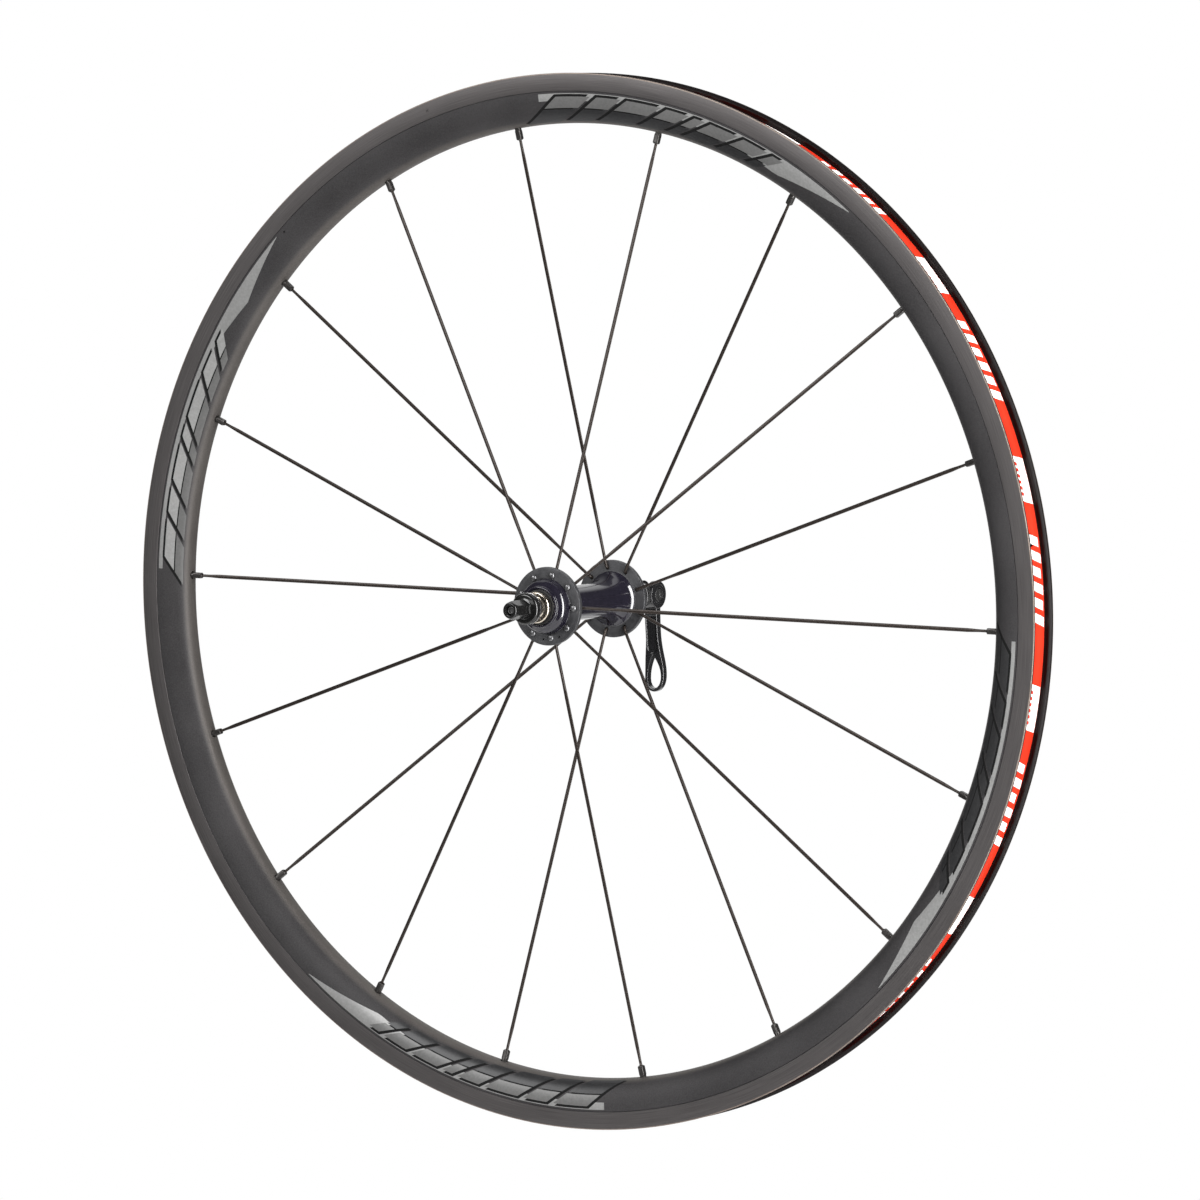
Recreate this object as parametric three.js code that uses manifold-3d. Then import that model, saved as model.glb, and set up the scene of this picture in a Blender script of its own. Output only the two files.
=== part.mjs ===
// Road bicycle front wheel with its quick-release skewer, in millimetres.
// The wheel turns about Y, its plane is XZ, and +Z is up. The origin is the middle of the hub.
// The skewer's adjusting nut is at -Y and its cam lever at +Y.
import * as THREE from "three";
import { mergeVertices } from "three/addons/utils/BufferGeometryUtils.js";
import Module from "manifold-3d";

const wasm = await Module();
wasm.setup();

const GAP = 0.3; // between neighbouring pieces

// Rim
const BEAD_SEAT_RADIUS = 311; // half of the 622 mm bead seat
const RIM_RADIUS = 317;
const SPOKE_BED_RADIUS = 287;
const RIM_HALF_WIDTH = 11.5;
const TRACK_INNER_RADIUS = 306.4; // lower edge of the brake track
const WELL_RADIUS = 308.6; // floor of the tyre well
const TRACK_WALL = 1.6;
const SIDE_WALL = 1.2;
const BED_THICKNESS = 1.8;
const WELL_THICKNESS = 1.4;
const SEAT_INNER_HALF_WIDTH = 6.4; // where the bead seats drop into the well
const WELL_HALF_WIDTH = 4.4;
const RIM_SEGMENTS = 48;
const TAPE_THICKNESS = 0.9;
const TAPE_HALF_WIDTH = 9.2;
const TAPE_SAG = 0.6; // in the middle, over the well
const VALVE_ANGLE = 8.94; // degrees, midway between two spokes
const VALVE_HOLE_RADIUS = 4.2;

// Spokes
const SPOKE_COUNT = 18;
const SPOKE_STEP = 360 / SPOKE_COUNT;
const FIRST_SPOKE_ANGLE = 18.94; // degrees from +X towards +Z; this spoke goes to the +Y flange
const SPOKE_RADIUS = 0.95;
const SPOKE_END_RADIUS = 0.9; // inside the nipple
const SPOKE_HEAD_RADIUS = 2.1;
const SPOKE_HEAD_HEIGHT = 1.1;
const BLADE_START = 56;
const BLADE_END = 270;
const BLADE_HALF_WIDTH = 1.15;
const BLADE_HALF_THICKNESS = 0.5;
const SPOKE_PLANE = 33.6; // offset of the spoke from the wheel's middle plane at the flange
const SPOKE_CIRCLE_RADIUS = 19;
const NIPPLE_START = 280;
const NIPPLE_END = 293;
const NIPPLE_RADIUS = 2;

// Hub
const FLANGE_RADIUS = 23.5;
const FLANGE_INNER_FACE = 34.6;
const FLANGE_OUTER_FACE = 37.4;
const BARREL_RADIUS = 10.6;
const HUB_END = 46.3;
const HUB_SEGMENTS = 32;
const HUB_BORE_RADIUS = 8.6;
const SPOKE_HOLE_RADIUS = 1.45;

// Cartridge bearings, 10 x 22 x 6
const BEARING_SEGMENTS = 24;
const BEARING_BORE_RADIUS = 5;
const BEARING_OUTER_RADIUS = 11;
const BEARING_MIDDLE = 42.4;
const BEARING_HALF_WIDTH = 3;
const SEAL_BORE_RADIUS = 7.4;
const BALL_CIRCLE_RADIUS = 8;
const BALL_RADIUS = 1.6;
const BALL_COUNT = 9;

// Axle and its end caps
const DROPOUT_FACE = 50; // half of the 100 mm over the lock nuts
const AXLE_END = 55;
const AXLE_END_RADIUS = 4.5;
const AXLE_BORE_RADIUS = 2.9;
const END_CAP_RADIUS = 9.4;
const END_CAP_SLEEVE_RADIUS = 6.8;
const AXLE_SHOULDER_RADIUS = 6.6;

// Quick-release skewer
const ROD_RADIUS = 2.5;
const ROD_END = -76.3; // at the nut
const ROD_TIP = 79.2; // inside the pivot barrel
const CLAMP_FACE = 57; // serrated faces, on both sides
const CLAMP_RING_BORE_RADIUS = 5.4;
const CLAMP_RING_THICKNESS = 1.6;
const NUT_RADIUS = 9.5;
const NUT_SHOULDER = 62.4;
const NUT_END = 78;
const NUT_ACROSS_FLATS = 10;
const CAP_RADIUS = 9.2;
const CAP_END = 66;
const BUSH_SEAT = 62; // floor of the cap, under the bush
const BUSH_RADIUS = 7.6;
const BUSH_END = 69.4;
const PIVOT_Y = 77;
const PIVOT_RADIUS = 4;
const CAM_RADIUS = 8.5;
const CAM_ECCENTRICITY = 0.6;
const CAM_SEAT_RADIUS = 10;
const HEAD_HALF_WIDTH = 7.8;
const ARM_HALF_WIDTH = 4.5;
const ARM_HALF_THICKNESS = 2.8;
const PANEL_RIM = 0.9;
const PANEL_DEPTH = 0.9;
const PANEL_START = -13;
const PANEL_END = -33;
const LOOP_HALF_WIDTH = 6.9;
const LOOP_HOLE_HALF_WIDTH = 4.7;
const LOOP_HOLE_START = -37;
const LOOP_TIP_WALL = 2.2;
const LEVER_LENGTH = 60.1;

const wheel = new THREE.Group();

// ---------- helpers ----------

const radians = THREE.MathUtils.degToRad;

// A finish: colour, roughness and metalness.
function finish(color, roughness, metalness) {
  return new THREE.MeshStandardMaterial({ color, roughness, metalness });
}

// A closed geometry as a manifold-3d solid.
function solid(geometry) {
  const bare = geometry.clone();
  bare.deleteAttribute("normal");
  bare.deleteAttribute("uv");
  const merged = mergeVertices(bare, 1e-4);
  const vertProperties = merged.attributes.position.array;
  const triVerts = new Uint32Array(merged.index.array);
  return new wasm.Manifold(new wasm.Mesh({ numProp: 3, vertProperties, triVerts }));
}

// A manifold-3d solid as a three.js geometry.
function geometryOf(manifold) {
  const mesh = manifold.getMesh();
  const geometry = new THREE.BufferGeometry();
  geometry.setAttribute("position", new THREE.BufferAttribute(mesh.vertProperties, 3));
  geometry.setIndex(new THREE.BufferAttribute(mesh.triVerts, 1));
  geometry.computeVertexNormals();
  return geometry;
}

function cut(geometry, tools) {
  return geometryOf(tools.reduce((body, tool) => body.subtract(solid(tool)), solid(geometry)));
}

function join(geometries) {
  return geometryOf(geometries.map(solid).reduce((body, part) => body.add(part)));
}

function overlapOf(a, b) {
  return geometryOf(solid(a).intersect(solid(b)));
}

// A piece turned about Y. The profile is [radius, y] pairs, inner end first along -y; it closes on
// itself, or starts and ends on the axis.
function turned(profile, segments) {
  const points = profile.map(([radius, y]) => new THREE.Vector2(radius, y));
  if (profile[0][0] > 0) points.push(points[0].clone());
  return new THREE.LatheGeometry(points, segments);
}

// The same profile on the +Y side (1) or the -Y side (-1).
function onSide(side, profile) {
  const placed = profile.map(([radius, y]) => [radius, side * y]);
  return side > 0 ? placed : placed.reverse();
}

function ring(innerRadius, outerRadius, fromY, toY, segments) {
  const profile = [[innerRadius, fromY], [outerRadius, fromY], [outerRadius, toY], [innerRadius, toY]];
  return turned(profile, segments);
}

function rodAlongY(radius, fromY, toY, segments) {
  return turned([[0, fromY], [radius, fromY], [radius, toY], [0, toY]], segments);
}

// A round bar along X, centred at (0, y, 0).
function rodAlongX(radius, halfLength, y, segments) {
  return new THREE.CylinderGeometry(radius, radius, 2 * halfLength, segments)
    .rotateZ(Math.PI / 2)
    .translate(0, y, 0);
}

// An outline in X and Z, extruded along Y from fromY to toY.
function plateAcrossY(shape, fromY, toY, curveSegments) {
  return new THREE.ExtrudeGeometry(shape, { depth: toY - fromY, bevelEnabled: false, curveSegments })
    .rotateX(Math.PI / 2)
    .translate(0, toY, 0);
}

// An outline in Y and Z, extruded along X over halfWidth each way.
function plateAcrossX(shape, halfWidth) {
  const yzx = new THREE.Matrix4().makeBasis(
    new THREE.Vector3(0, 1, 0),
    new THREE.Vector3(0, 0, 1),
    new THREE.Vector3(1, 0, 0),
  );
  return new THREE.ExtrudeGeometry(shape, { depth: 2 * halfWidth, bevelEnabled: false })
    .translate(0, 0, -halfWidth)
    .applyMatrix4(yzx);
}

// Turns a geometry made on the +X axis to a place on the wheel.
function turnTo(geometry, degrees) {
  return geometry.rotateY(-radians(degrees));
}

function place(name, geometry, material) {
  const mesh = new THREE.Mesh(geometry, material);
  mesh.name = name;
  wheel.add(mesh);
  return mesh;
}

// ---------- finishes ----------

const anodised = finish(0x34343a, 0.55, 0.6);
const redTape = finish(0xe0261c, 0.45, 0);
const blackSteel = finish(0x19191b, 0.4, 0.7);
const gunmetal = finish(0x3a3835, 0.35, 0.8);
const glossBlack = finish(0x17171f, 0.15, 0.5);
const satinBlack = finish(0x151516, 0.35, 0.4);
const polished = finish(0xc9b99a, 0.2, 1);
const steel = finish(0x9a9a9c, 0.3, 1);
const rubber = finish(0x1a1a1a, 0.8, 0);
const polymer = finish(0x202022, 0.5, 0);

// ---------- rim and tape ----------

const spokeAngles = Array.from(
  { length: SPOKE_COUNT },
  (_, index) => FIRST_SPOKE_ANGLE + index * SPOKE_STEP,
);

// The even spokes go to the +Y flange and the odd ones to the -Y flange.
function spokeSide(index) {
  return index % 2 === 0 ? 1 : -1;
}

// The curved side of the rim below the brake track, from the spoke bed outwards, at -y.
function sideCurve(radiusAtBed, radiusAtTop, halfWidth, steps) {
  const depth = radiusAtTop - radiusAtBed;
  return Array.from({ length: steps }, (_, step) => {
    const turn = (Math.PI / 2) * (1 - step / steps);
    return [radiusAtTop - depth * Math.sin(turn), -halfWidth * Math.cos(turn) ** 0.8];
  });
}

// Half of the rim's section at -y: the side, the brake track, the hook and the tyre well.
function rimHalfSection() {
  const hookRadius = RIM_RADIUS - 2;
  return [
    ...sideCurve(SPOKE_BED_RADIUS, TRACK_INNER_RADIUS, RIM_HALF_WIDTH, 5),
    [TRACK_INNER_RADIUS, -RIM_HALF_WIDTH],
    [RIM_RADIUS - 0.6, -RIM_HALF_WIDTH],
    [RIM_RADIUS, -RIM_HALF_WIDTH + 0.6],
    [RIM_RADIUS, -RIM_HALF_WIDTH + 1.8],
    [hookRadius, -RIM_HALF_WIDTH + 3],
    [hookRadius - 1.4, -RIM_HALF_WIDTH + TRACK_WALL],
    [BEAD_SEAT_RADIUS, -RIM_HALF_WIDTH + TRACK_WALL],
    [BEAD_SEAT_RADIUS, -SEAT_INNER_HALF_WIDTH],
    [WELL_RADIUS, -WELL_HALF_WIDTH],
  ];
}

function mirroredSection(half) {
  const other = half.filter(([, y]) => y < 0).map(([radius, y]) => [radius, -y]);
  return [...half, ...other.reverse()];
}

// The hollow of the double-wall section.
function chamberSection() {
  const bed = SPOKE_BED_RADIUS + BED_THICKNESS;
  const half = [
    ...sideCurve(bed, TRACK_INNER_RADIUS, RIM_HALF_WIDTH - SIDE_WALL, 4),
    [BEAD_SEAT_RADIUS - WELL_THICKNESS, -RIM_HALF_WIDTH + TRACK_WALL],
    [BEAD_SEAT_RADIUS - WELL_THICKNESS, -SEAT_INNER_HALF_WIDTH + 0.4],
    [WELL_RADIUS - WELL_THICKNESS, -WELL_HALF_WIDTH + 0.4],
  ];
  return mirroredSection(half);
}

// A drill along the X axis, from one radius of the wheel to another.
function radialDrill(radius, from, to, sides) {
  return new THREE.CylinderGeometry(radius, radius, to - from, sides)
    .rotateZ(Math.PI / 2)
    .translate((from + to) / 2, 0, 0);
}

function valveDrill() {
  return turnTo(radialDrill(VALVE_HOLE_RADIUS, SPOKE_BED_RADIUS - 5, RIM_RADIUS, 12), VALVE_ANGLE);
}

function rimGeometry() {
  const chamber = turned(chamberSection(), RIM_SEGMENTS);
  const nippleHoles = spokeAngles.map((angle) => {
    return turnTo(radialDrill(NIPPLE_RADIUS + 0.6, SPOKE_BED_RADIUS - 2, NIPPLE_END, 8), angle);
  });
  const accessHoles = spokeAngles.map((angle) => {
    return turnTo(radialDrill(4, NIPPLE_END, RIM_RADIUS, 8), angle);
  });
  const outside = turned(mirroredSection(rimHalfSection()), RIM_SEGMENTS);
  return cut(outside, [chamber, ...nippleHoles, ...accessHoles, valveDrill()]);
}

// The tape lies on both bead seats and sags a little over the well.
function tapeGeometry() {
  const under = mirroredSection([
    [BEAD_SEAT_RADIUS + GAP, -TAPE_HALF_WIDTH],
    [BEAD_SEAT_RADIUS + GAP, -SEAT_INNER_HALF_WIDTH],
    [BEAD_SEAT_RADIUS + GAP - TAPE_SAG, -2],
  ]);
  const over = under.map(([radius, y]) => [radius + TAPE_THICKNESS, y]);
  return cut(turned([...over, ...under.reverse()], RIM_SEGMENTS), [valveDrill()]);
}

place("rim", rimGeometry(), anodised);
place("rim_tape", tapeGeometry(), redTape);

// ---------- spokes and nipples ----------

// Distance of a spoke's centre line from the wheel's middle plane at a radius.
function spokeOffset(radius) {
  const slope = SPOKE_PLANE / (SPOKE_BED_RADIUS - SPOKE_CIRCLE_RADIUS);
  return SPOKE_PLANE - slope * (radius - SPOKE_CIRCLE_RADIUS);
}

// A six-sided bar bent through stations of radius, y, half width and half thickness.
function bentBar(stations) {
  const bar = new THREE.CylinderGeometry(1, 1, 1, 6, stations.length - 1);
  const last = stations.length - 1;
  const position = bar.attributes.position;
  for (let i = 0; i < position.count; i += 1) {
    const index = Math.round((0.5 - position.getY(i)) * last);
    const before = stations[Math.max(index - 1, 0)];
    const after = stations[Math.min(index + 1, last)];
    const along = new THREE.Vector2(after.radius - before.radius, after.y - before.y).normalize();
    const here = stations[index];
    const across = here.halfThickness * position.getX(i);
    position.setXYZ(
      i,
      here.radius - along.y * across,
      here.y + along.x * across,
      here.halfWidth * position.getZ(i),
    );
  }
  return bar;
}

// One spoke in the plane of X and Y: flat head outside the flange, elbow, round butt, blade, round end.
function spokeGeometry(side) {
  const station = (radius, y, halfWidth, halfThickness) => ({
    radius,
    y: side * y,
    halfWidth,
    halfThickness,
  });
  const straight = (radius, halfWidth, halfThickness) =>
    station(radius, spokeOffset(radius), halfWidth, halfThickness);
  const head = FLANGE_OUTER_FACE + GAP;
  return bentBar([
    station(SPOKE_CIRCLE_RADIUS, head + SPOKE_HEAD_HEIGHT, 1.5, 1.5),
    station(SPOKE_CIRCLE_RADIUS, head, SPOKE_HEAD_RADIUS, SPOKE_HEAD_RADIUS),
    station(SPOKE_CIRCLE_RADIUS, head - 0.15, SPOKE_RADIUS, SPOKE_RADIUS),
    station(SPOKE_CIRCLE_RADIUS, FLANGE_INNER_FACE + 0.5, SPOKE_RADIUS, SPOKE_RADIUS),
    station(SPOKE_CIRCLE_RADIUS + 0.55, SPOKE_PLANE + 0.35, SPOKE_RADIUS, SPOKE_RADIUS),
    straight(SPOKE_CIRCLE_RADIUS + 2, SPOKE_RADIUS, SPOKE_RADIUS),
    straight(BLADE_START - 8, SPOKE_RADIUS, SPOKE_RADIUS),
    straight(BLADE_START, BLADE_HALF_WIDTH, BLADE_HALF_THICKNESS),
    straight(BLADE_END, BLADE_HALF_WIDTH, BLADE_HALF_THICKNESS),
    straight(BLADE_END + 5, SPOKE_END_RADIUS, SPOKE_END_RADIUS),
    straight(NIPPLE_END - 3, SPOKE_END_RADIUS, SPOKE_END_RADIUS),
  ]);
}

// One nipple on the X axis: a hollow body with its head inside the rim.
function nippleGeometry(side) {
  const bore = SPOKE_END_RADIUS + GAP;
  const headStart = SPOKE_BED_RADIUS + 3.5;
  const profile = [
    [bore, NIPPLE_START],
    [NIPPLE_RADIUS - 0.3, NIPPLE_START],
    [NIPPLE_RADIUS, NIPPLE_START + 0.6],
    [NIPPLE_RADIUS, headStart],
    [NIPPLE_RADIUS + 1, headStart],
    [NIPPLE_RADIUS + 1, NIPPLE_END - 1],
    [bore, NIPPLE_END],
  ];
  const lean = Math.atan2(SPOKE_PLANE, SPOKE_BED_RADIUS - SPOKE_CIRCLE_RADIUS);
  return turned(profile, 6)
    .translate(0, -SPOKE_BED_RADIUS, 0)
    .rotateZ(-Math.PI / 2 - side * lean)
    .translate(SPOKE_BED_RADIUS, 0, 0);
}

for (const side of [-1, 1]) {
  const spoke = spokeGeometry(side);
  const nipple = nippleGeometry(side);
  spokeAngles.forEach((angle, index) => {
    if (spokeSide(index) !== side) return;
    const number = String(index + 1).padStart(2, "0");
    place(`spoke_${number}`, spoke, blackSteel).rotation.y = -radians(angle);
    place(`nipple_${number}`, nipple, gunmetal).rotation.y = -radians(angle);
  });
}

// ---------- hub shell ----------

// Half of the hub's outer outline at +y, from the end to the middle.
const hubOutline = [
  [12.1, HUB_END],
  [12.6, HUB_END - 0.6],
  [14, HUB_END - 3.4],
  [15.4, FLANGE_OUTER_FACE + 3],
  [16.2, FLANGE_OUTER_FACE],
  [FLANGE_RADIUS - 0.5, FLANGE_OUTER_FACE],
  [FLANGE_RADIUS, FLANGE_OUTER_FACE - 0.5],
  [FLANGE_RADIUS, FLANGE_INNER_FACE + 0.5],
  [FLANGE_RADIUS - 0.5, FLANGE_INNER_FACE],
  [16.3, FLANGE_INNER_FACE],
  [14.4, FLANGE_INNER_FACE - 2.4],
  [12.2, FLANGE_INNER_FACE - 8],
  [11, FLANGE_INNER_FACE - 17],
  [BARREL_RADIUS, 0],
];

const bearingSeat = [
  [HUB_BORE_RADIUS, BEARING_MIDDLE - BEARING_HALF_WIDTH - GAP],
  [BEARING_OUTER_RADIUS, BEARING_MIDDLE - BEARING_HALF_WIDTH - GAP],
  [BEARING_OUTER_RADIUS, HUB_END],
];

function hubGeometry() {
  const lower = hubOutline.map(([radius, y]) => [radius, -y]);
  const upper = hubOutline.slice(0, -1).reverse();
  const boreUpper = [...bearingSeat].reverse();
  const boreLower = bearingSeat.map(([radius, y]) => [radius, -y]);
  const body = turned([...lower, ...upper, ...boreUpper, ...boreLower], HUB_SEGMENTS);
  const spokeHoles = spokeAngles.map((angle, index) => {
    const side = spokeSide(index);
    const drill = rodAlongY(SPOKE_HOLE_RADIUS, FLANGE_INNER_FACE - 0.1, FLANGE_OUTER_FACE + 1, 8)
      .translate(SPOKE_CIRCLE_RADIUS, 0, 0);
    return turnTo(side > 0 ? drill : drill.rotateX(Math.PI), angle);
  });
  return cut(body, spokeHoles);
}

place("hub_shell", hubGeometry(), glossBlack);

// ---------- bearings and seals ----------

// The ball groove of a race, as [radius, y] points from -y to +y. It bulges inwards (-1) or
// outwards (1).
function groove(bulge) {
  const grooveRadius = BALL_RADIUS + GAP;
  return [-45, 0, 45].map((degrees) => [
    BALL_CIRCLE_RADIUS + bulge * grooveRadius * Math.cos(radians(degrees)),
    BEARING_MIDDLE + grooveRadius * Math.sin(radians(degrees)),
  ]);
}

function raceGeometry(side, plainRadius, bulge) {
  const low = BEARING_MIDDLE - BEARING_HALF_WIDTH;
  const high = BEARING_MIDDLE + BEARING_HALF_WIDTH;
  const grooveEdge = BALL_CIRCLE_RADIUS + bulge * 1.2;
  const track = [[grooveEdge, low], ...groove(bulge), [grooveEdge, high]];
  const section = bulge > 0
    ? [[grooveEdge, low], [plainRadius, low], [plainRadius, high], ...track.slice(1).reverse()]
    : [[plainRadius, low], ...track, [plainRadius, high]];
  return turned(onSide(side, section), BEARING_SEGMENTS);
}

function ballSetGeometry(side) {
  const middle = side * BEARING_MIDDLE;
  const cage = ring(BALL_CIRCLE_RADIUS - 0.4, BALL_CIRCLE_RADIUS + 0.4, middle - 0.7, middle + 0.7, 18);
  const balls = Array.from({ length: BALL_COUNT }, (_, index) => {
    const ball = new THREE.OctahedronGeometry(BALL_RADIUS, 1).translate(BALL_CIRCLE_RADIUS, middle, 0);
    return turnTo(ball, (index * 360) / BALL_COUNT);
  });
  return join([cage, ...balls]);
}

function sealGeometry(side) {
  const inner = BEARING_MIDDLE + BEARING_HALF_WIDTH + 0.2;
  const rimRadius = BEARING_OUTER_RADIUS - GAP;
  const profile = [
    [SEAL_BORE_RADIUS, inner],
    [rimRadius, inner],
    [rimRadius, HUB_END],
    [SEAL_BORE_RADIUS, HUB_END],
  ];
  return turned(onSide(side, profile), BEARING_SEGMENTS);
}

// ---------- axle and end caps ----------

function axleGeometry() {
  const shoulder = BEARING_MIDDLE - BEARING_HALF_WIDTH - GAP;
  const seatEnd = BEARING_MIDDLE + BEARING_HALF_WIDTH + GAP;
  const seatRadius = BEARING_BORE_RADIUS - GAP;
  const half = [
    [AXLE_BORE_RADIUS, AXLE_END],
    [AXLE_END_RADIUS - 0.4, AXLE_END],
    [AXLE_END_RADIUS, AXLE_END - 0.5],
    [AXLE_END_RADIUS, seatEnd],
    [seatRadius, seatEnd],
    [seatRadius, shoulder],
    [AXLE_SHOULDER_RADIUS, shoulder],
  ];
  const lower = half.map(([radius, y]) => [radius, -y]);
  return turned([...lower, ...half.reverse()], 24);
}

// A lock nut: a sleeve against the inner race and a flange whose face meets the dropout.
function endCapGeometry(side) {
  const bore = AXLE_END_RADIUS + GAP;
  const inner = BEARING_MIDDLE + BEARING_HALF_WIDTH + 2 * GAP;
  const flange = HUB_END + 0.5;
  const profile = [
    [bore, inner],
    [END_CAP_SLEEVE_RADIUS, inner],
    [END_CAP_SLEEVE_RADIUS, flange],
    [END_CAP_RADIUS - 0.3, flange],
    [END_CAP_RADIUS, flange + 0.4],
    [END_CAP_RADIUS, DROPOUT_FACE - 0.5],
    [END_CAP_RADIUS - 0.5, DROPOUT_FACE],
    [bore, DROPOUT_FACE],
  ];
  return turned(onSide(side, profile), BEARING_SEGMENTS);
}

place("axle", axleGeometry(), blackSteel);
for (const [side, label] of [[-1, "left"], [1, "right"]]) {
  place(`${label}_outer_race`, raceGeometry(side, BEARING_OUTER_RADIUS - GAP, 1), steel);
  place(`${label}_inner_race`, raceGeometry(side, BEARING_BORE_RADIUS, -1), steel);
  place(`${label}_balls`, ballSetGeometry(side), steel);
  place(`${label}_seal`, sealGeometry(side), rubber);
  place(`${label}_end_cap`, endCapGeometry(side), polished);
}

// ---------- adjusting nut end of the skewer ----------

function clampRingGeometry(side) {
  const profile = [
    [CLAMP_RING_BORE_RADIUS, CLAMP_FACE],
    [NUT_RADIUS, CLAMP_FACE],
    [NUT_RADIUS, CLAMP_FACE + CLAMP_RING_THICKNESS],
    [CLAMP_RING_BORE_RADIUS, CLAMP_FACE + CLAMP_RING_THICKNESS],
  ];
  return turned(onSide(side, profile), BEARING_SEGMENTS);
}

// A round skirt with a six-sided boss; two of the flats face +X and -X.
function nutGeometry() {
  const skirtStart = CLAMP_FACE + CLAMP_RING_THICKNESS + GAP;
  const skirt = turned(onSide(-1, [
    [0, skirtStart],
    [NUT_RADIUS, skirtStart],
    [NUT_RADIUS, NUT_SHOULDER - 0.8],
    [NUT_RADIUS - 0.8, NUT_SHOULDER],
    [0, NUT_SHOULDER],
  ]), HUB_SEGMENTS);
  const cornerRadius = NUT_ACROSS_FLATS / 2 / Math.cos(Math.PI / 6);
  const hexagon = new THREE.CylinderGeometry(cornerRadius, cornerRadius, NUT_END - NUT_SHOULDER + 1, 6)
    .translate(0, -(NUT_END + NUT_SHOULDER - 1) / 2, 0);
  const nose = turned(onSide(-1, [
    [0, NUT_SHOULDER - 2],
    [cornerRadius + 0.2, NUT_SHOULDER - 2],
    [cornerRadius + 0.2, NUT_END - 3],
    [5.2, NUT_END - 1.6],
    [4.3, NUT_END],
    [0, NUT_END],
  ]), 24);
  const boss = overlapOf(hexagon, nose);
  const bore = rodAlongY(ROD_RADIUS + GAP, -NUT_END - 1, -CLAMP_FACE, 16);
  return cut(join([skirt, boss]), [bore]);
}

place("skewer_rod", rodAlongY(ROD_RADIUS, ROD_END, ROD_TIP, 16), steel);
place("adjusting_nut", nutGeometry(), satinBlack);
place("nut_clamp_ring", clampRingGeometry(-1), steel);

// ---------- lever end of the skewer ----------

function clampCapGeometry() {
  const start = CLAMP_FACE + CLAMP_RING_THICKNESS + GAP;
  const mouth = BUSH_RADIUS + GAP;
  const profile = [
    [ROD_RADIUS + 2 * GAP, start],
    [CAP_RADIUS, start],
    [CAP_RADIUS, CAP_END - 4.5],
    [CAP_RADIUS - 0.6, CAP_END - 1.5],
    [mouth + 0.2, CAP_END],
    [mouth, CAP_END],
    [mouth, BUSH_SEAT],
    [ROD_RADIUS + 2 * GAP, BUSH_SEAT],
  ];
  return turned(profile, BEARING_SEGMENTS);
}

// The bush sits in the cap and its hollow end follows the cam.
function camBushGeometry() {
  const blank = ring(ROD_RADIUS + 2 * GAP, BUSH_RADIUS, BUSH_SEAT + GAP, BUSH_END, BEARING_SEGMENTS);
  const closedCamY = PIVOT_Y - CAM_ECCENTRICITY;
  const seatY = closedCamY - CAM_RADIUS - GAP + CAM_SEAT_RADIUS;
  return cut(blank, [rodAlongX(CAM_SEAT_RADIUS, 12, seatY, 48)]);
}

function pivotBarrelGeometry() {
  const barrel = rodAlongX(PIVOT_RADIUS, HEAD_HALF_WIDTH - 0.4, PIVOT_Y, 20);
  return cut(barrel, [rodAlongY(ROD_RADIUS + GAP, PIVOT_Y - 8, ROD_TIP + GAP, 16)]);
}

// Middle line of the lever's arm, in y and z, from the pivot to the tip.
const armCurve = new THREE.SplineCurve([
  new THREE.Vector2(PIVOT_Y + 4, 2),
  new THREE.Vector2(PIVOT_Y + 4.6, -18),
  new THREE.Vector2(PIVOT_Y + 6.4, -34),
  new THREE.Vector2(PIVOT_Y + 8.3, -48),
  new THREE.Vector2(PIVOT_Y + 7.2, -LEVER_LENGTH - 1),
]);

// A slab that follows the arm's curve, with its faces at two distances from the middle. It gets
// thinner towards the tip.
function armSlab(innerDistance, outerDistance) {
  const steps = 10;
  const points = armCurve.getPoints(steps);
  const face = (distance) => points.map((point, index) => {
    const thinned = distance * (1 - 0.2 * (index / steps));
    return new THREE.Vector2(point.x + thinned, point.y);
  });
  return plateAcrossX(new THREE.Shape([...face(innerDistance), ...face(outerDistance).reverse()]), 10);
}

// The arm seen from outside: parallel at first, then a drop-shaped loop.
function armOutline() {
  const width = ARM_HALF_WIDTH;
  const loop = LOOP_HALF_WIDTH;
  const tip = -LEVER_LENGTH;
  const widest = tip + 9.4;
  const shape = new THREE.Shape();
  shape.moveTo(-width, 0);
  shape.lineTo(-width, -24);
  shape.bezierCurveTo(-width, -34, -loop, -40, -loop, widest);
  shape.bezierCurveTo(-loop, tip + 3, -3.6, tip, 0, tip);
  shape.bezierCurveTo(3.6, tip, loop, tip + 3, loop, widest);
  shape.bezierCurveTo(loop, -40, width, -34, width, -24);
  shape.lineTo(width, 0);
  return shape;
}

function loopHole() {
  const width = LOOP_HOLE_HALF_WIDTH;
  const start = LOOP_HOLE_START;
  const end = -LEVER_LENGTH + LOOP_TIP_WALL;
  const widest = end + 6.8;
  const hole = new THREE.Shape();
  hole.moveTo(0, start);
  hole.bezierCurveTo(-1.2, start - 3, -width, start - 7, -width, widest);
  hole.bezierCurveTo(-width, end + 2.2, -2.6, end, 0, end);
  hole.bezierCurveTo(2.6, end, width, end + 2.2, width, widest);
  hole.bezierCurveTo(width, start - 7, 1.2, start - 3, 0, start);
  return hole;
}

// The shallow panel on the arm's inner face.
function panelOutline() {
  const width = ARM_HALF_WIDTH - PANEL_RIM;
  const shape = new THREE.Shape();
  shape.moveTo(-width, PANEL_START);
  shape.lineTo(-width, PANEL_END);
  shape.absarc(0, PANEL_END, width, Math.PI, 2 * Math.PI, false);
  shape.lineTo(width, PANEL_START);
  return shape;
}

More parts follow.
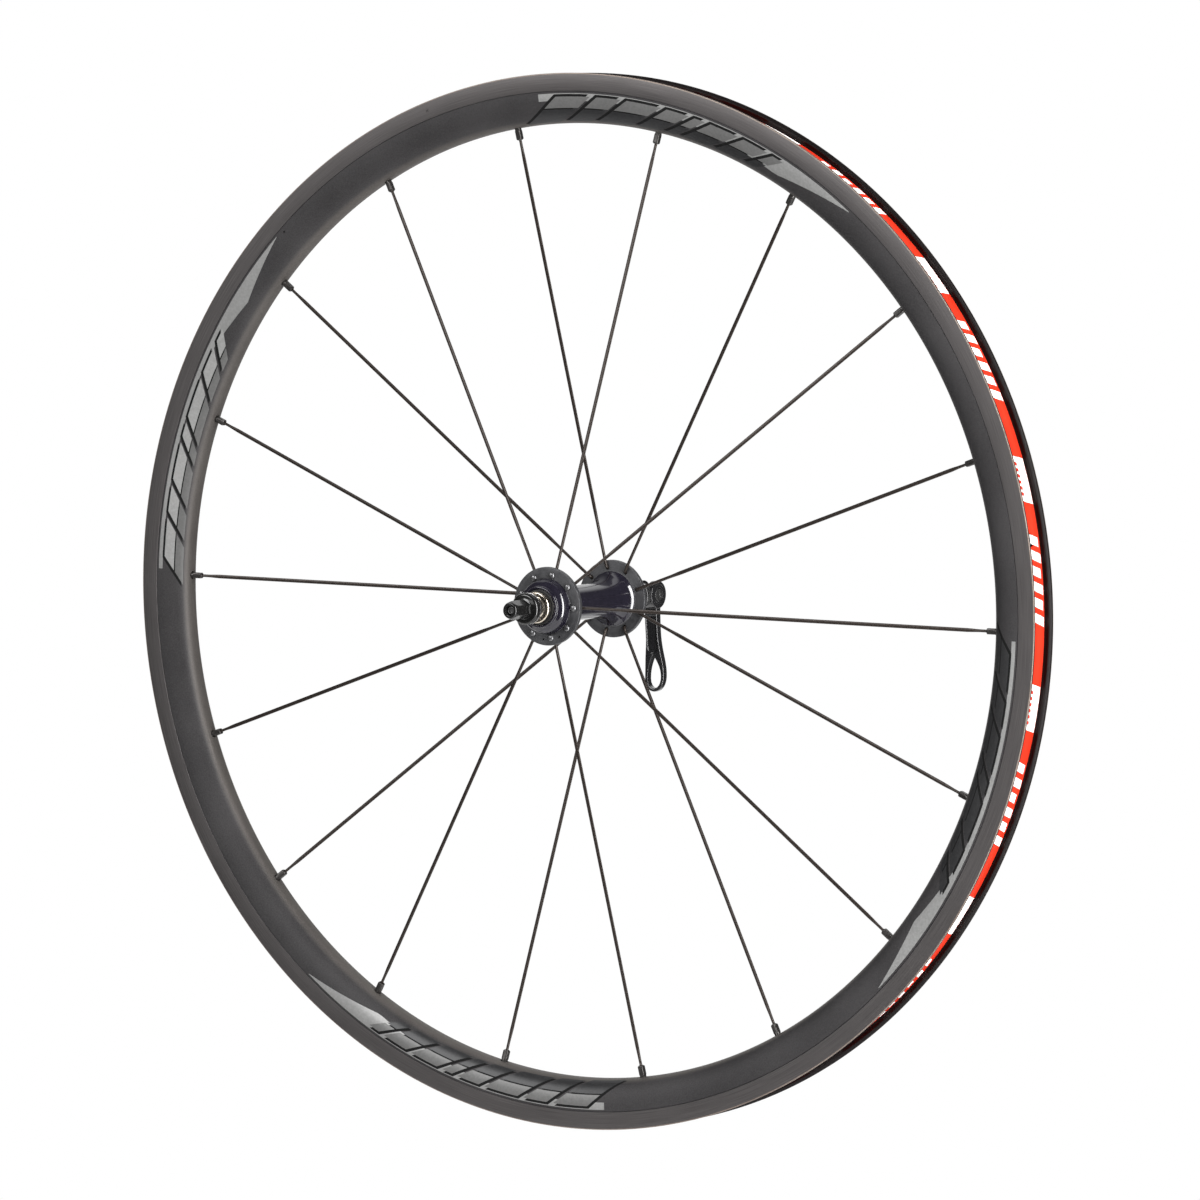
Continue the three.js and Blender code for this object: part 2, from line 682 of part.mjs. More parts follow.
function leverGeometry() {
  const thickness = ARM_HALF_THICKNESS;
  const across = (shape, curveSegments) =>
    plateAcrossY(shape, PIVOT_Y - 5, PIVOT_Y + 15, curveSegments);
  const cam = rodAlongX(CAM_RADIUS, HEAD_HALF_WIDTH, PIVOT_Y - CAM_ECCENTRICITY, 36);
  const arm = overlapOf(across(armOutline(), 5), armSlab(-thickness, thickness));
  const panel = overlapOf(across(panelOutline(), 6), armSlab(-2 * thickness, PANEL_DEPTH - thickness));
  const rodSlot = new THREE.BoxGeometry(2 * (ROD_RADIUS + 2 * GAP), 20, 14)
    .translate(0, PIVOT_Y, 7 - ROD_RADIUS - 2 * GAP);
  const pivotHole = rodAlongX(PIVOT_RADIUS + GAP, 12, PIVOT_Y, 20);
  return cut(join([cam, arm]), [panel, across(loopHole(), 5), rodSlot, pivotHole]);
}

place("clamp_cap", clampCapGeometry(), satinBlack);
place("cap_clamp_ring", clampRingGeometry(1), steel);
place("cam_bush", camBushGeometry(), polymer);
place("pivot_barrel", pivotBarrelGeometry(), steel);
place("lever", leverGeometry(), satinBlack);

export default wheel;
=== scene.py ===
"""Looks of a road bicycle front wheel with its quick-release skewer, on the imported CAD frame."""
import math

import bmesh
import bpy
import numpy as np
from mathutils import Matrix, Vector


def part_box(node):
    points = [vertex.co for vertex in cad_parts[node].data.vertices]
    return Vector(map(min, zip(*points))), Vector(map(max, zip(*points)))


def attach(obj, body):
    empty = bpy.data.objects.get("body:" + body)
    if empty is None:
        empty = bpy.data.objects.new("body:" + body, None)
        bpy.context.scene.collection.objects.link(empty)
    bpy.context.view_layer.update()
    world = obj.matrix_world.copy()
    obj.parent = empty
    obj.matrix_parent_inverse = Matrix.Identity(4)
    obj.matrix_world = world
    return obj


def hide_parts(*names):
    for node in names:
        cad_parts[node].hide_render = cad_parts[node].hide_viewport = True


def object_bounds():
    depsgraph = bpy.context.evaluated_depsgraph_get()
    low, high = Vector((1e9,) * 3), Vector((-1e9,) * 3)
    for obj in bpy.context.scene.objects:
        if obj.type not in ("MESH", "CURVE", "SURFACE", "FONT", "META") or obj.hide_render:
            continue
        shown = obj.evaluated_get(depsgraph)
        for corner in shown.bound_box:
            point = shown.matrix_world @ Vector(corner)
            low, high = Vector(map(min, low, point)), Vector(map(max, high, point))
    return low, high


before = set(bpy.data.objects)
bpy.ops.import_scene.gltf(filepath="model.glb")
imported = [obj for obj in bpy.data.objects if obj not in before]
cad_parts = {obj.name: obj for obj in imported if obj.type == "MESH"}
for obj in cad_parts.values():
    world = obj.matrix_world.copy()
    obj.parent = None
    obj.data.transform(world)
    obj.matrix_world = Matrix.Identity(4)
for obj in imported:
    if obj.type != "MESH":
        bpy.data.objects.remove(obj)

cad_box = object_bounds()
MM = 0.001

# Sizes in millimetres. The wheel turns about Y; radii are from the Y axis.
RIM_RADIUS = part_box("rim")[1].x / MM
RIM_HALF_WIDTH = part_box("rim")[1].y / MM
BED_RADIUS = RIM_RADIUS - 30
TRACK_RADIUS = RIM_RADIUS - 10.6
BEAD_RADIUS = RIM_RADIUS - 6
WELL_RADIUS = RIM_RADIUS - 8.4
BODY_TOP_RADIUS = TRACK_RADIUS - 0.5
BODY_HALF_WIDTH = RIM_HALF_WIDTH - 0.2
SPOKE_COUNT = 18
SPOKE_STEP = 360 / SPOKE_COUNT
FIRST_SPOKE_ANGLE = 18.94
VALVE_ANGLE = 8.94
SPOKE_PLANE = 33.6
HOLES_RADIUS = 19
NIPPLE_START = 280
FLANGE_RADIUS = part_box("hub_shell")[1].x / MM
HUB_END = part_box("hub_shell")[1].y / MM
FLANGE_INSIDE = HUB_END - 11.7
FLANGE_OUTSIDE = HUB_END - 8.9
DROPOUT_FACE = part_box("right_end_cap")[1].y / MM
AXLE_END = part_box("axle")[1].y / MM
CLAMP_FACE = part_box("cap_clamp_ring")[0].y / MM
NUT_END = -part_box("adjusting_nut")[0].y / MM
ROD_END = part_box("skewer_rod")[0].y / MM
NUT_SHOULDER = NUT_END - 15.6
CAP_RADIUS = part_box("clamp_cap")[1].x / MM
BUSH_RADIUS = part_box("cam_bush")[1].x / MM
BUSH_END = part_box("cam_bush")[1].y / MM
ROD_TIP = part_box("skewer_rod")[1].y / MM
PIVOT_Y = ROD_TIP - 2.2
CAM_RADIUS = 8.5
CAM_Y = PIVOT_Y - 0.6
HEAD_HALF_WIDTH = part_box("lever")[1].x / MM
LEVER_LENGTH = -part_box("lever")[0].z / MM

SIDES = ((-1, "left"), (1, "right"))
SPOKE_ANGLES = [FIRST_SPOKE_ANGLE + SPOKE_STEP * k for k in range(SPOKE_COUNT)]


def spoke_side(index):
    """The even spokes go to the +Y flange and the odd ones to the -Y flange."""
    return 1 if index % 2 == 0 else -1


# ---------- camera ----------

VIEW_AZIMUTH = math.radians(32.55)
VIEW_ELEVATION = math.radians(4.33)
VIEW_DISTANCE = 4.158
VIEW_OFFSET_RIGHT = 0.01163
VIEW_OFFSET_UP = 0.0014
LENS = 207.8


def make_camera():
    back = Vector((
        math.sin(VIEW_AZIMUTH) * math.cos(VIEW_ELEVATION),
        -math.cos(VIEW_AZIMUTH) * math.cos(VIEW_ELEVATION),
        math.sin(VIEW_ELEVATION),
    ))
    right = Vector((math.cos(VIEW_AZIMUTH), math.sin(VIEW_AZIMUTH), 0))
    up = back.cross(right)
    camera = add_piece("camera", bpy.data.cameras.new("camera"))
    place = back * VIEW_DISTANCE + right * VIEW_OFFSET_RIGHT + up * VIEW_OFFSET_UP
    turn = Matrix((right, up, back)).transposed()
    camera.matrix_world = Matrix.Translation(place) @ turn.to_4x4()
    camera.data.lens = LENS
    camera.data.sensor_width = 36
    bpy.context.scene.camera = camera


# ---------- mesh helpers ----------

def add_piece(name, data):
    piece = bpy.data.objects.new(name, data)
    bpy.context.scene.collection.objects.link(piece)
    return piece


def signed_volume(points, faces):
    """Six times the volume inside the faces, negative where they look in."""
    total = 0.0
    for face in faces:
        fan = points[list(face)]
        firsts = np.broadcast_to(fan[0], fan[1:-1].shape)
        total += np.einsum("ij,ij->", np.cross(fan[1:-1], fan[2:]), firsts)
    return total


def mesh_of(name, points, faces, hollow=False):
    """A closed mesh whose faces look out, or in for a hollow."""
    if (signed_volume(points, faces) < 0) != hollow:
        faces = [tuple(reversed(face)) for face in faces]
    mesh = bpy.data.meshes.new(name)
    mesh.from_pydata(points.tolist(), [], faces)
    mesh.update()
    return mesh


def skin(name, rings, loop=False, hollow=False):
    """A closed mesh through rings of points in millimetres. A loop joins the last ring to the
    first; otherwise both ends are capped. Faces look out, or in for a hollow."""
    rings = [np.asarray(ring, float) * MM for ring in rings]
    around = len(rings[0])
    count = len(rings)
    points = np.concatenate(rings)
    faces = []
    for i in range(count if loop else count - 1):
        a = i * around
        b = ((i + 1) % count) * around
        for j in range(around):
            k = (j + 1) % around
            faces.append((a + j, a + k, b + k, b + j))
    if not loop:
        faces.append(tuple(reversed(range(around))))
        faces.append(tuple(range((count - 1) * around, count * around)))
    return mesh_of(name, points, faces, hollow)


def full_turn(count):
    return np.linspace(0, 2 * math.pi, count, endpoint=False)


def circle(radius, y, segments, reshape=None):
    """A ring of points about Y. reshape(radius, y, angle) may move each point."""
    angles = full_turn(segments)
    radii = np.full(segments, float(radius))
    heights = np.full(segments, float(y))
    if reshape:
        radii, heights = reshape(radii, heights, angles)
    return np.stack([radii * np.cos(angles), heights, radii * np.sin(angles)], axis=1)


def rounded(corners, loop=True, steps=4):
    """Corners (radius, y, fillet) as an outline whose corners are rounded."""
    outline = []
    last = len(corners) - 1
    for i, (radius, y, fillet) in enumerate(corners):
        here = Vector((radius, y))
        if fillet == 0 or (not loop and i in (0, last)):
            outline.append(here)
            continue
        before = Vector(corners[i - 1][:2]) - here
        after = Vector(corners[(i + 1) % len(corners)][:2]) - here
        start = here + before.normalized() * min(fillet, before.length * 0.49)
        end = here + after.normalized() * min(fillet, after.length * 0.49)
        for step in range(steps + 1):
            t = step / steps
            outline.append(start * (1 - t) ** 2 + here * 2 * t * (1 - t) + end * t ** 2)
    return [tuple(point) for point in outline]


def turned_mesh(name, outline, segments, loop=True, hollow=False, reshape=None):
    rings = [circle(max(radius, 0.01), y, segments, reshape) for radius, y in outline]
    return skin(name, rings, loop, hollow)


def on_side(side, corners):
    """Corners (radius, y, fillet), mirrored for side -1."""
    return [(radius, side * y, fillet) for radius, y, fillet in corners]


def turned(name, corners, segments, side=1, reshape=None):
    """A turned piece from corners (radius, y, fillet) on the +Y side or mirrored to the -Y side."""
    outline = rounded(on_side(side, corners))
    return add_piece(name, turned_mesh(name, outline, segments, reshape=reshape))


def angle_to_matrix(degrees):
    """The turn about Y that takes +X to that angle, from +X towards +Z."""
    return Matrix.Rotation(-math.radians(degrees), 4, "Y")


def joined(name, meshes):
    """One mesh out of several."""
    result = bmesh.new()
    for mesh in meshes:
        result.from_mesh(mesh)
        bpy.data.meshes.remove(mesh)
    mesh = bpy.data.meshes.new(name)
    result.to_mesh(mesh)
    result.free()
    return mesh


def bake_modifiers(piece):
    bpy.context.view_layer.update()
    graph = bpy.context.evaluated_depsgraph_get()
    mesh = bpy.data.meshes.new_from_object(piece.evaluated_get(graph))
    old = piece.data
    piece.modifiers.clear()
    piece.data = mesh
    bpy.data.meshes.remove(old)


def combine(piece, tool_mesh, operation="DIFFERENCE"):
    """Cuts, joins or intersects a piece with a tool mesh."""
    tool = add_piece("tool", tool_mesh)
    modifier = piece.modifiers.new("combine", "BOOLEAN")
    modifier.operation = operation
    modifier.solver = "EXACT"
    modifier.object = tool
    bake_modifiers(piece)
    bpy.data.objects.remove(tool)
    bpy.data.meshes.remove(tool_mesh)


def smooth_shading(piece, degrees):
    piece.data.polygons.foreach_set("use_smooth", [True] * len(piece.data.polygons))
    piece.data.set_sharp_from_angle(angle=math.radians(degrees))
    piece.data.update()


def drill(radius, start, end, segments=24):
    """A round tool along +X from one distance to another, in millimetres."""
    angles = full_turn(segments)
    y, z = radius * np.cos(angles), radius * np.sin(angles)
    return skin("drill", [np.stack([np.full(segments, x), y, z], axis=1) for x in (start, end)])


def axial_drill(radius, start, end, segments=24):
    """A round tool along Y."""
    return skin("drill", [circle(radius, start, segments), circle(radius, end, segments)])


def moved(mesh, matrix):
    mesh.transform(matrix)
    return mesh


def shift(x, y, z):
    return Matrix.Translation(Vector((x, y, z)) * MM)


# ---------- material helpers ----------

def add_node(tree, kind, inputs=None, **settings):
    """A shader node whose inputs are linked to sockets or set to values."""
    node = tree.nodes.new(kind)
    for key, value in settings.items():
        setattr(node, key, value)
    for key, value in (inputs or {}).items():
        if isinstance(value, bpy.types.NodeSocket):
            tree.links.new(value, node.inputs[key])
        else:
            node.inputs[key].default_value = value
    return node


def math_node(tree, operation, first, second=0.0):
    return add_node(tree, "ShaderNodeMath", {0: first, 1: second}, operation=operation).outputs[0]


def smooth_ramp(tree, value, start, end, low=0.0, high=1.0):
    """Value from start to end mapped to low to high, smoothly."""
    inputs = {"Value": value, "From Min": start, "From Max": end, "To Min": low, "To Max": high}
    return add_node(tree, "ShaderNodeMapRange", inputs, interpolation_type="SMOOTHSTEP").outputs[0]


class Finish:
    """A procedural material around one Principled shader, in object coordinates."""

    def __init__(self, name, color, metallic, roughness, **sockets):
        self.material = bpy.data.materials.new(name)
        self.material.use_nodes = True
        self.tree = self.material.node_tree
        self.shader = self.tree.nodes["Principled BSDF"]
        self.shader.inputs["Base Color"].default_value = (*color, 1)
        self.shader.inputs["Metallic"].default_value = metallic
        self.shader.inputs["Roughness"].default_value = roughness
        for socket, value in sockets.items():
            self.shader.inputs[socket.replace("_", " ")].default_value = value
        self.place = self.node("ShaderNodeTexCoord").outputs["Object"]

    def node(self, kind, inputs=None, **settings):
        return add_node(self.tree, kind, inputs, **settings)

    def math(self, operation, first, second=0.0):
        return math_node(self.tree, operation, first, second)

    def times(self, first, second):
        return self.math("MULTIPLY", first, second)

    def weighted(self, first, second, share):
        """The first value with its share, and the second with the rest."""
        rest = self.times(second, round(1 - share, 2))
        return self.math("ADD", self.times(first, share), rest)

    def polar(self):
        """Radius from the Y axis, y and angle of each point, in metres and radians."""
        x, y, z = self.node("ShaderNodeSeparateXYZ", {0: self.place}).outputs
        squares = self.math("ADD", self.times(x, x), self.times(z, z))
        return self.math("SQRT", squares), y, self.math("ARCTAN2", z, x)

    def vector(self, x, y, z):
        return self.node("ShaderNodeCombineXYZ", {0: x, 1: y, 2: z}).outputs[0]

    def noise(self, scale, detail, roughness=0.55, place=None):
        inputs = {
            "Vector": place or self.place, "Scale": scale, "Detail": detail, "Roughness": roughness}
        return self.node("ShaderNodeTexNoise", inputs).outputs["Fac"]

    def turned_lines(self, pitch):
        """Noise drawn out along the turning direction, as a lathe leaves it."""
        radius, y, angle = self.polar()
        outwards, along = [self.math("DIVIDE", value, pitch) for value in (radius, y)]
        return self.noise(1.0, 2.0, 0.5, self.vector(outwards, along, angle))

    def between(self, value, low, high, start=0.3, end=0.7):
        return smooth_ramp(self.tree, value, start, end, low, high)

    def mix(self, factor, first, second):
        inputs = {0: factor}
        for socket, value in ((6, first), (7, second)):
            inputs[socket] = value if isinstance(value, bpy.types.NodeSocket) else (*value, 1)
        return self.node("ShaderNodeMix", inputs, data_type="RGBA").outputs[2]

    def tones(self, value, dark, light):
        """A colour from dark to light as the value goes from 0 to 1."""
        return self.mix(self.between(value, 0, 1), dark, light)

    def set(self, socket, value):
        self.tree.links.new(value, self.shader.inputs[socket])

    def bump(self, height, strength, distance):
        inputs = {"Height": height, "Strength": strength, "Distance": distance}
        self.set("Normal", self.node("ShaderNodeBump", inputs).outputs[0])

    def follow(self, pattern, dark, light, rough, spread):
        """Colour and roughness that follow one pattern."""
        self.set("Base Color", self.tones(pattern, dark, light))
        self.set("Roughness", self.between(pattern, rough - spread, rough + spread))


def grainy(name, dark, light, metallic, rough, grain=1500, spread=0.08, bump=0.15, **sockets):
    """A finish with a fine grain in its colour, roughness and surface."""
    finish = Finish(name, light, metallic, rough, **sockets)
    fine = finish.noise(grain, 4.0)
    broad = finish.noise(grain / 40, 2.0)
    both = finish.weighted(fine, broad, 0.6)
    finish.follow(both, dark, light, rough, spread)
    finish.bump(fine, bump, 0.00004)
    return finish.material


def lathed(name, dark, light, metallic, rough, pitch=0.0003, spread=0.06, bump=0.2, **sockets):
    """A turned finish: fine rings about Y, with a faint broad variation and handling marks."""
    finish = Finish(name, light, metallic, rough, **sockets)
    lines = finish.turned_lines(pitch)
    broad = finish.noise(260, 3.0)
    both = finish.weighted(lines, broad, 0.5)
    finish.follow(both, dark, light, rough, spread)
    finish.bump(lines, bump, 0.00002)
    return finish.material


def rim_finish():
    """Matt anodised aluminium: brake tracks with brushed rings, a painted highlight that makes the
    spoke bed's inner edge lighter and warmer, the well painted near-black as shade, and a painted
    highlight on the outer bevel.
    """
    finish = Finish("rim_anodised", (0.035, 0.034, 0.035), 0.4, 0.5, Specular_IOR_Level=0.35)
    radius, y, angle = finish.polar()
    grain = finish.noise(1400, 4.0)
    cloud = finish.noise(22, 2.0)
    tone = finish.weighted(grain, cloud, 0.65)
    body = finish.tones(tone, (0.026, 0.0245, 0.0255), (0.048, 0.0455, 0.0465))
    rings = finish.noise(1.0, 2.0, 0.5, finish.vector(
        finish.times(radius, 5200), finish.times(angle, 9), y))
    track = finish.tones(rings, (0.066, 0.061, 0.061), (0.098, 0.091, 0.090))
    # Painted highlight: a lighter, warmer colour for the lit inner edge of the spoke bed.
    painted_bed_highlight = finish.tones(tone, (0.058, 0.052, 0.048), (0.088, 0.080, 0.074))
    # Painted highlight: a pale, warm colour for the light caught along the outer edge's bevel.
    painted_edge_highlight = finish.tones(tone, (0.15, 0.115, 0.095), (0.28, 0.235, 0.205))
    offset = finish.math("ABSOLUTE", y)
    # The strip at the spoke bed's inner edge that carries the painted highlight.
    on_bed = finish.between(radius, 1, 0, (BED_RADIUS + 0.6) * MM, (BED_RADIUS + 3.4) * MM)
    track_start = TRACK_RADIUS * MM
    on_track = finish.between(radius, 0, 1, track_start - 0.1 * MM, track_start + 0.1 * MM)
    # The tyre well's walls, which get painted shade.
    inside = finish.between(
        offset, 1, 0, (RIM_HALF_WIDTH - 0.75) * MM, (RIM_HALF_WIDTH - 0.45) * MM)
    in_shaded_well = finish.times(inside, on_track)
    # The outer edge's bevel, outside the well, carries the painted highlight.
    on_edge = finish.between(radius, 0, 1, (RIM_RADIUS - 0.75) * MM, (RIM_RADIUS - 0.5) * MM)
    on_bevel = finish.math("SUBTRACT", on_edge, finish.times(on_edge, in_shaded_well))
    color = finish.mix(on_bed, body, painted_bed_highlight)
    color = finish.mix(on_track, color, track)
    # Painted shade: the well's walls are near-black with a red tint.
    color = finish.mix(in_shaded_well, color, (0.0030, 0.0012, 0.0012))
    # The painted highlight goes on the bevel.
    color = finish.mix(on_bevel, color, painted_edge_highlight)
    finish.set("Base Color", color)
    on_sides = finish.math("SUBTRACT", on_track, in_shaded_well)
    rough = finish.math("ADD", finish.between(tone, 0.48, 0.62), finish.times(on_sides, -0.14))
    finish.set("Roughness", rough)
    finish.set("Metallic", finish.between(on_sides, 0.4, 0.6, 0, 1))
    relief = finish.math("SUBTRACT", 1.0, finish.times(on_sides, 0.8))
    height = finish.times(finish.mix(on_sides, grain, rings), relief)
    finish.bump(height, 0.2, 0.00004)
    return finish.material


def spoke_finish():
    """Black spokes whose heads, beyond the flange, are coloured bright silver."""
    finish = Finish("spoke_black", (0.02, 0.018, 0.017), 0.5, 0.34)
    grain = finish.noise(1800, 4.0)
    black = finish.tones(grain, (0.019, 0.0145, 0.0125), (0.042, 0.033, 0.028))
    bright = finish.tones(grain, (0.15, 0.15, 0.155), (0.24, 0.24, 0.245))
    offset = finish.math("ABSOLUTE", finish.polar()[1])
    outside = (FLANGE_OUTSIDE + 0.3) * MM
    on_head = finish.between(offset, 0, 1, outside, outside + 0.1 * MM)
    finish.set("Base Color", finish.mix(on_head, black, bright))
    finish.set("Roughness", finish.between(grain, 0.28, 0.42))
    finish.set("Metallic", finish.between(on_head, 0.5, 0.9, 0, 1))
    finish.bump(grain, 0.15, 0.00004)
    return finish.material


# Dark and light colour, metallic, roughness, then grain, spread and bump where they aren't usual.
FOIL = (0.3, 0.36, 700, 0.03, 0.03)
GRAINY_FINISHES = {
    "decal_silver": ((0.20, 0.20, 0.197), (0.26, 0.26, 0.255), *FOIL),
    # Painted reflection: a lighter copy of the narrow graphic's blocks, used on the left-hand
    # graphic.
    "decal_pale": ((0.24, 0.24, 0.236), (0.31, 0.31, 0.305), *FOIL),
    "decal_grey": ((0.105, 0.105, 0.103), (0.135, 0.134, 0.132), *FOIL),
    # Dark print on the wide graphics. On the right-hand narrow graphic it is painted shade over
    # both tones.
    "decal_dark": ((0.018, 0.018, 0.019), (0.028, 0.028, 0.029), *FOIL),
    "decal_black": ((0.003, 0.003, 0.003), (0.006, 0.006, 0.006), 0.0, 0.7, 700),
    "tape_red": ((0.46, 0.020, 0.007), (0.56, 0.030, 0.011), 0.0, 0.5, 900),
    "tape_white": ((0.80, 0.78, 0.75), (0.90, 0.88, 0.86), 0.0, 0.45, 900),
    "nipple_gunmetal": ((0.040, 0.037, 0.036), (0.070, 0.066, 0.063), 0.7, 0.34, 2200),
    "serrated_steel": ((0.42, 0.42, 0.42), (0.66, 0.65, 0.64), 1.0, 0.28, 1600),
    "nut_black": ((0.0045, 0.0045, 0.0045), (0.009, 0.009, 0.009), 0.1, 0.2, 1700, 0.05, 0.1),
    "lever_black": ((0.006, 0.006, 0.0065), (0.012, 0.012, 0.013), 0.1, 0.2, 1500, 0.05, 0.08),
    "bush_polymer": ((0.012, 0.012, 0.013), (0.020, 0.020, 0.021), 0.0, 0.5, 1300),
    "seal_rubber": ((0.010, 0.010, 0.010), (0.018, 0.018, 0.018), 0.0, 0.7, 1200),
}
# The same, with the pitch of the turning lines instead of the grain.
LATHED_FINISHES = {
    "hub_gloss": (
        (0.0075, 0.0065, 0.0115), (0.012, 0.0105, 0.0175), 0.1, 0.12, 0.00045, 0.03, 0.05),
    "flange_satin": ((0.050, 0.050, 0.053), (0.078, 0.078, 0.082), 0.55, 0.42, 0.00035),
    "end_cap_polished": ((0.62, 0.55, 0.45), (0.86, 0.79, 0.68), 1.0, 0.2, 0.0002),
    "ground_steel": ((0.42, 0.42, 0.43), (0.62, 0.62, 0.63), 1.0, 0.28, 0.0002),
    "axle_black": ((0.018, 0.018, 0.018), (0.032, 0.032, 0.032), 0.6, 0.35, 0.0002),
    "rod_steel": ((0.10, 0.10, 0.10), (0.18, 0.18, 0.18), 0.9, 0.32, 0.0002),
    "pivot_dark": ((0.055, 0.055, 0.055), (0.10, 0.10, 0.10), 0.8, 0.36, 0.0003),
}
# What else the shader is told, by finish.
SOCKETS = {
    "decal_black": {"Specular_IOR_Level": 0.15},
    "tape_red": {"Specular_IOR_Level": 0.2},
    "hub_gloss": {"Coat_Weight": 0.5, "Coat_Roughness": 0.04, "Specular_IOR_Level": 0.6},
    "nut_black": {"Coat_Weight": 0.3, "Coat_Roughness": 0.1},
    "lever_black": {"Coat_Weight": 0.6, "Coat_Roughness": 0.06},
}
FINISHES = {}


def make_finishes():
    for make, table in ((grainy, GRAINY_FINISHES), (lathed, LATHED_FINISHES)):
        for name, values in table.items():
            FINISHES[name] = make(name, *values, **SOCKETS.get(name, {}))
    FINISHES["rim_anodised"] = rim_finish()
    FINISHES["spoke_black"] = spoke_finish()


# ---------- rim and tape ----------

RIM_SEGMENTS = 360


def body_section(share):
    """Radius and |y| of the rim's body. The share is 0 just below the brake track and 1 in the
    middle of the spoke bed."""
    turn = share * math.pi / 2
    depth = BODY_TOP_RADIUS - BED_RADIUS
    return BODY_TOP_RADIUS - depth * math.sin(turn), BODY_HALF_WIDTH * max(math.cos(turn), 0) ** 0.8


def rim_outline():
    """The closed outer section, from the spoke bed round the -y side, the well and the +y side."""
    body = [(*body_section(1 - step / 16), 0) for step in range(17)]
    top = [
        (BODY_TOP_RADIUS + 0.15, RIM_HALF_WIDTH - 0.55, 0),
        (TRACK_RADIUS - 0.1, RIM_HALF_WIDTH - 0.55, 0),
        (TRACK_RADIUS + 0.1, RIM_HALF_WIDTH - 0.02, 0.06), (RIM_RADIUS, RIM_HALF_WIDTH - 0.02, 0.5),
        (RIM_RADIUS, RIM_HALF_WIDTH - 1.7, 0.5), (RIM_RADIUS - 1.8, RIM_HALF_WIDTH - 2.9, 0.5),
        (RIM_RADIUS - 3.4, RIM_HALF_WIDTH - 1.7, 0.7), (BEAD_RADIUS, RIM_HALF_WIDTH - 1.7, 0.8),
        (BEAD_RADIUS, 6.4, 0.8), (WELL_RADIUS, 4.4, 0.8),
    ]
    half = body + top
    return rounded(on_side(-1, half) + half[:0:-1], steps=3)


def chamber_outline():
    """The sealed hollow between the spoke bed and the tyre well."""
    wall = 1.2
    side = [(radius + wall, y * (BODY_HALF_WIDTH - wall) / BODY_HALF_WIDTH, 0)
            for radius, y in (body_section(1 - step / 8) for step in range(8))]
    half = side + [
        (BEAD_RADIUS - 1.4, RIM_HALF_WIDTH - 1.6, 1), (BEAD_RADIUS - 1.4, 6, 0.6),
        (WELL_RADIUS - 1.4, 4, 0.6),
    ]
    return rounded(on_side(-1, half) + half[:0:-1], steps=2)


def valve_drill():
    return moved(drill(4.1, BED_RADIUS - 3, RIM_RADIUS, 32), angle_to_matrix(VALVE_ANGLE))


def side_drill(side, radius, angle, hole_radius, depth):
    """A blind hole in the rim's side at a radius and angle of the wheel."""
    tool = axial_drill(hole_radius, RIM_HALF_WIDTH - depth, RIM_HALF_WIDTH + 1, 16)
    if side < 0:
        tool.transform(Matrix.Rotation(math.pi, 4, "X"))
    tool.transform(shift(radius, 0, 0))
    return moved(tool, angle_to_matrix(angle))


# Radius, start and end of the nipple's hole and of the wider hole above it.
SPOKE_HOLES = ((2.35, BED_RADIUS - 2, BED_RADIUS + 8), (4, BEAD_RADIUS - 6.5, RIM_RADIUS))
# Place, angle, radius and depth of the wear dot and of the vent.
SIDE_HOLES = ((RIM_RADIUS - 5.7, 109.2, 0.9, 0.5), (RIM_RADIUS - 13.8, 133.5, 0.7, 1.4))


def make_rim():
    outer = turned_mesh("rim_outer", rim_outline(), RIM_SEGMENTS)
    chamber = turned_mesh("rim_chamber", chamber_outline(), RIM_SEGMENTS, hollow=True)
    piece = add_piece("rim_shell", joined("rim_shell", [outer, chamber]))
    tools = [moved(drill(*hole), angle_to_matrix(angle))
             for hole in SPOKE_HOLES for angle in SPOKE_ANGLES]
    tools += [side_drill(side, *hole) for hole in SIDE_HOLES for side in (-1, 1)]
    combine(piece, joined("tools", tools + [valve_drill()]))
    finish_piece(piece, "wheel", "rim", "rim_anodised", ["rim"])


TAPE_TOP = BEAD_RADIUS + 1.18
TAPE_SAG = 0.6
TAPE_HALF_WIDTH = 9.15
TAPE_THICKNESS = 0.85


def tape_radius(y):
    """The tape's outer surface: level over the bead seats, sagging over the well."""
    climb = min(max((abs(y) - 2) / 4.4, 0), 1)
    return TAPE_TOP - TAPE_SAG * (1 - climb * climb * (3 - 2 * climb))


def make_tape():
    across = np.linspace(-TAPE_HALF_WIDTH, TAPE_HALF_WIDTH, 29)
    over = [(tape_radius(y), y, 0) for y in across]
    under = [(radius - TAPE_THICKNESS, y, 0) for radius, y, fillet in reversed(over)]
    piece = turned("tape_band", over + under, RIM_SEGMENTS)
    combine(piece, valve_drill())
    finish_piece(piece, "wheel", "rim_tape", "tape_red", ["rim_tape"])


PATCH_HALF_THICKNESS = 0.05


def band(place, start, end, low, high, steps, across=6):
    """A thin closed patch. place(angle, share, lift) is a surface; low and high give the patch's
    edges as shares of it, as functions of the way from start to end."""
    top, bottom = [], []
    for step in range(steps + 1):
        way = step / steps
        for j in range(across + 1):
            share = low(way) + (high(way) - low(way)) * j / across
            angle = start + (end - start) * way
            top.append(place(angle, share, PATCH_HALF_THICKNESS))
            bottom.append(place(angle, share, -PATCH_HALF_THICKNESS))
    points = np.array(top + bottom, float) * MM
    row = across + 1
    half = len(top)
    faces = []
    for i in range(steps):
        for j in range(across):
            a, b = i * row + j, (i + 1) * row + j
            faces.append((a, b, b + 1, a + 1))
            faces.append((half + a, half + a + 1, half + b + 1, half + b))
        for a, b in ((i * row, (i + 1) * row), ((i + 1) * row + across, i * row + across)):
            faces.append((a, half + a, half + b, b))
    for j in range(across):
        faces.append((j, j + 1, half + j + 1, half + j))
        a = steps * row + j
        faces.append((a + 1, a, half + a, half + a + 1))
    return mesh_of("band", points, faces)


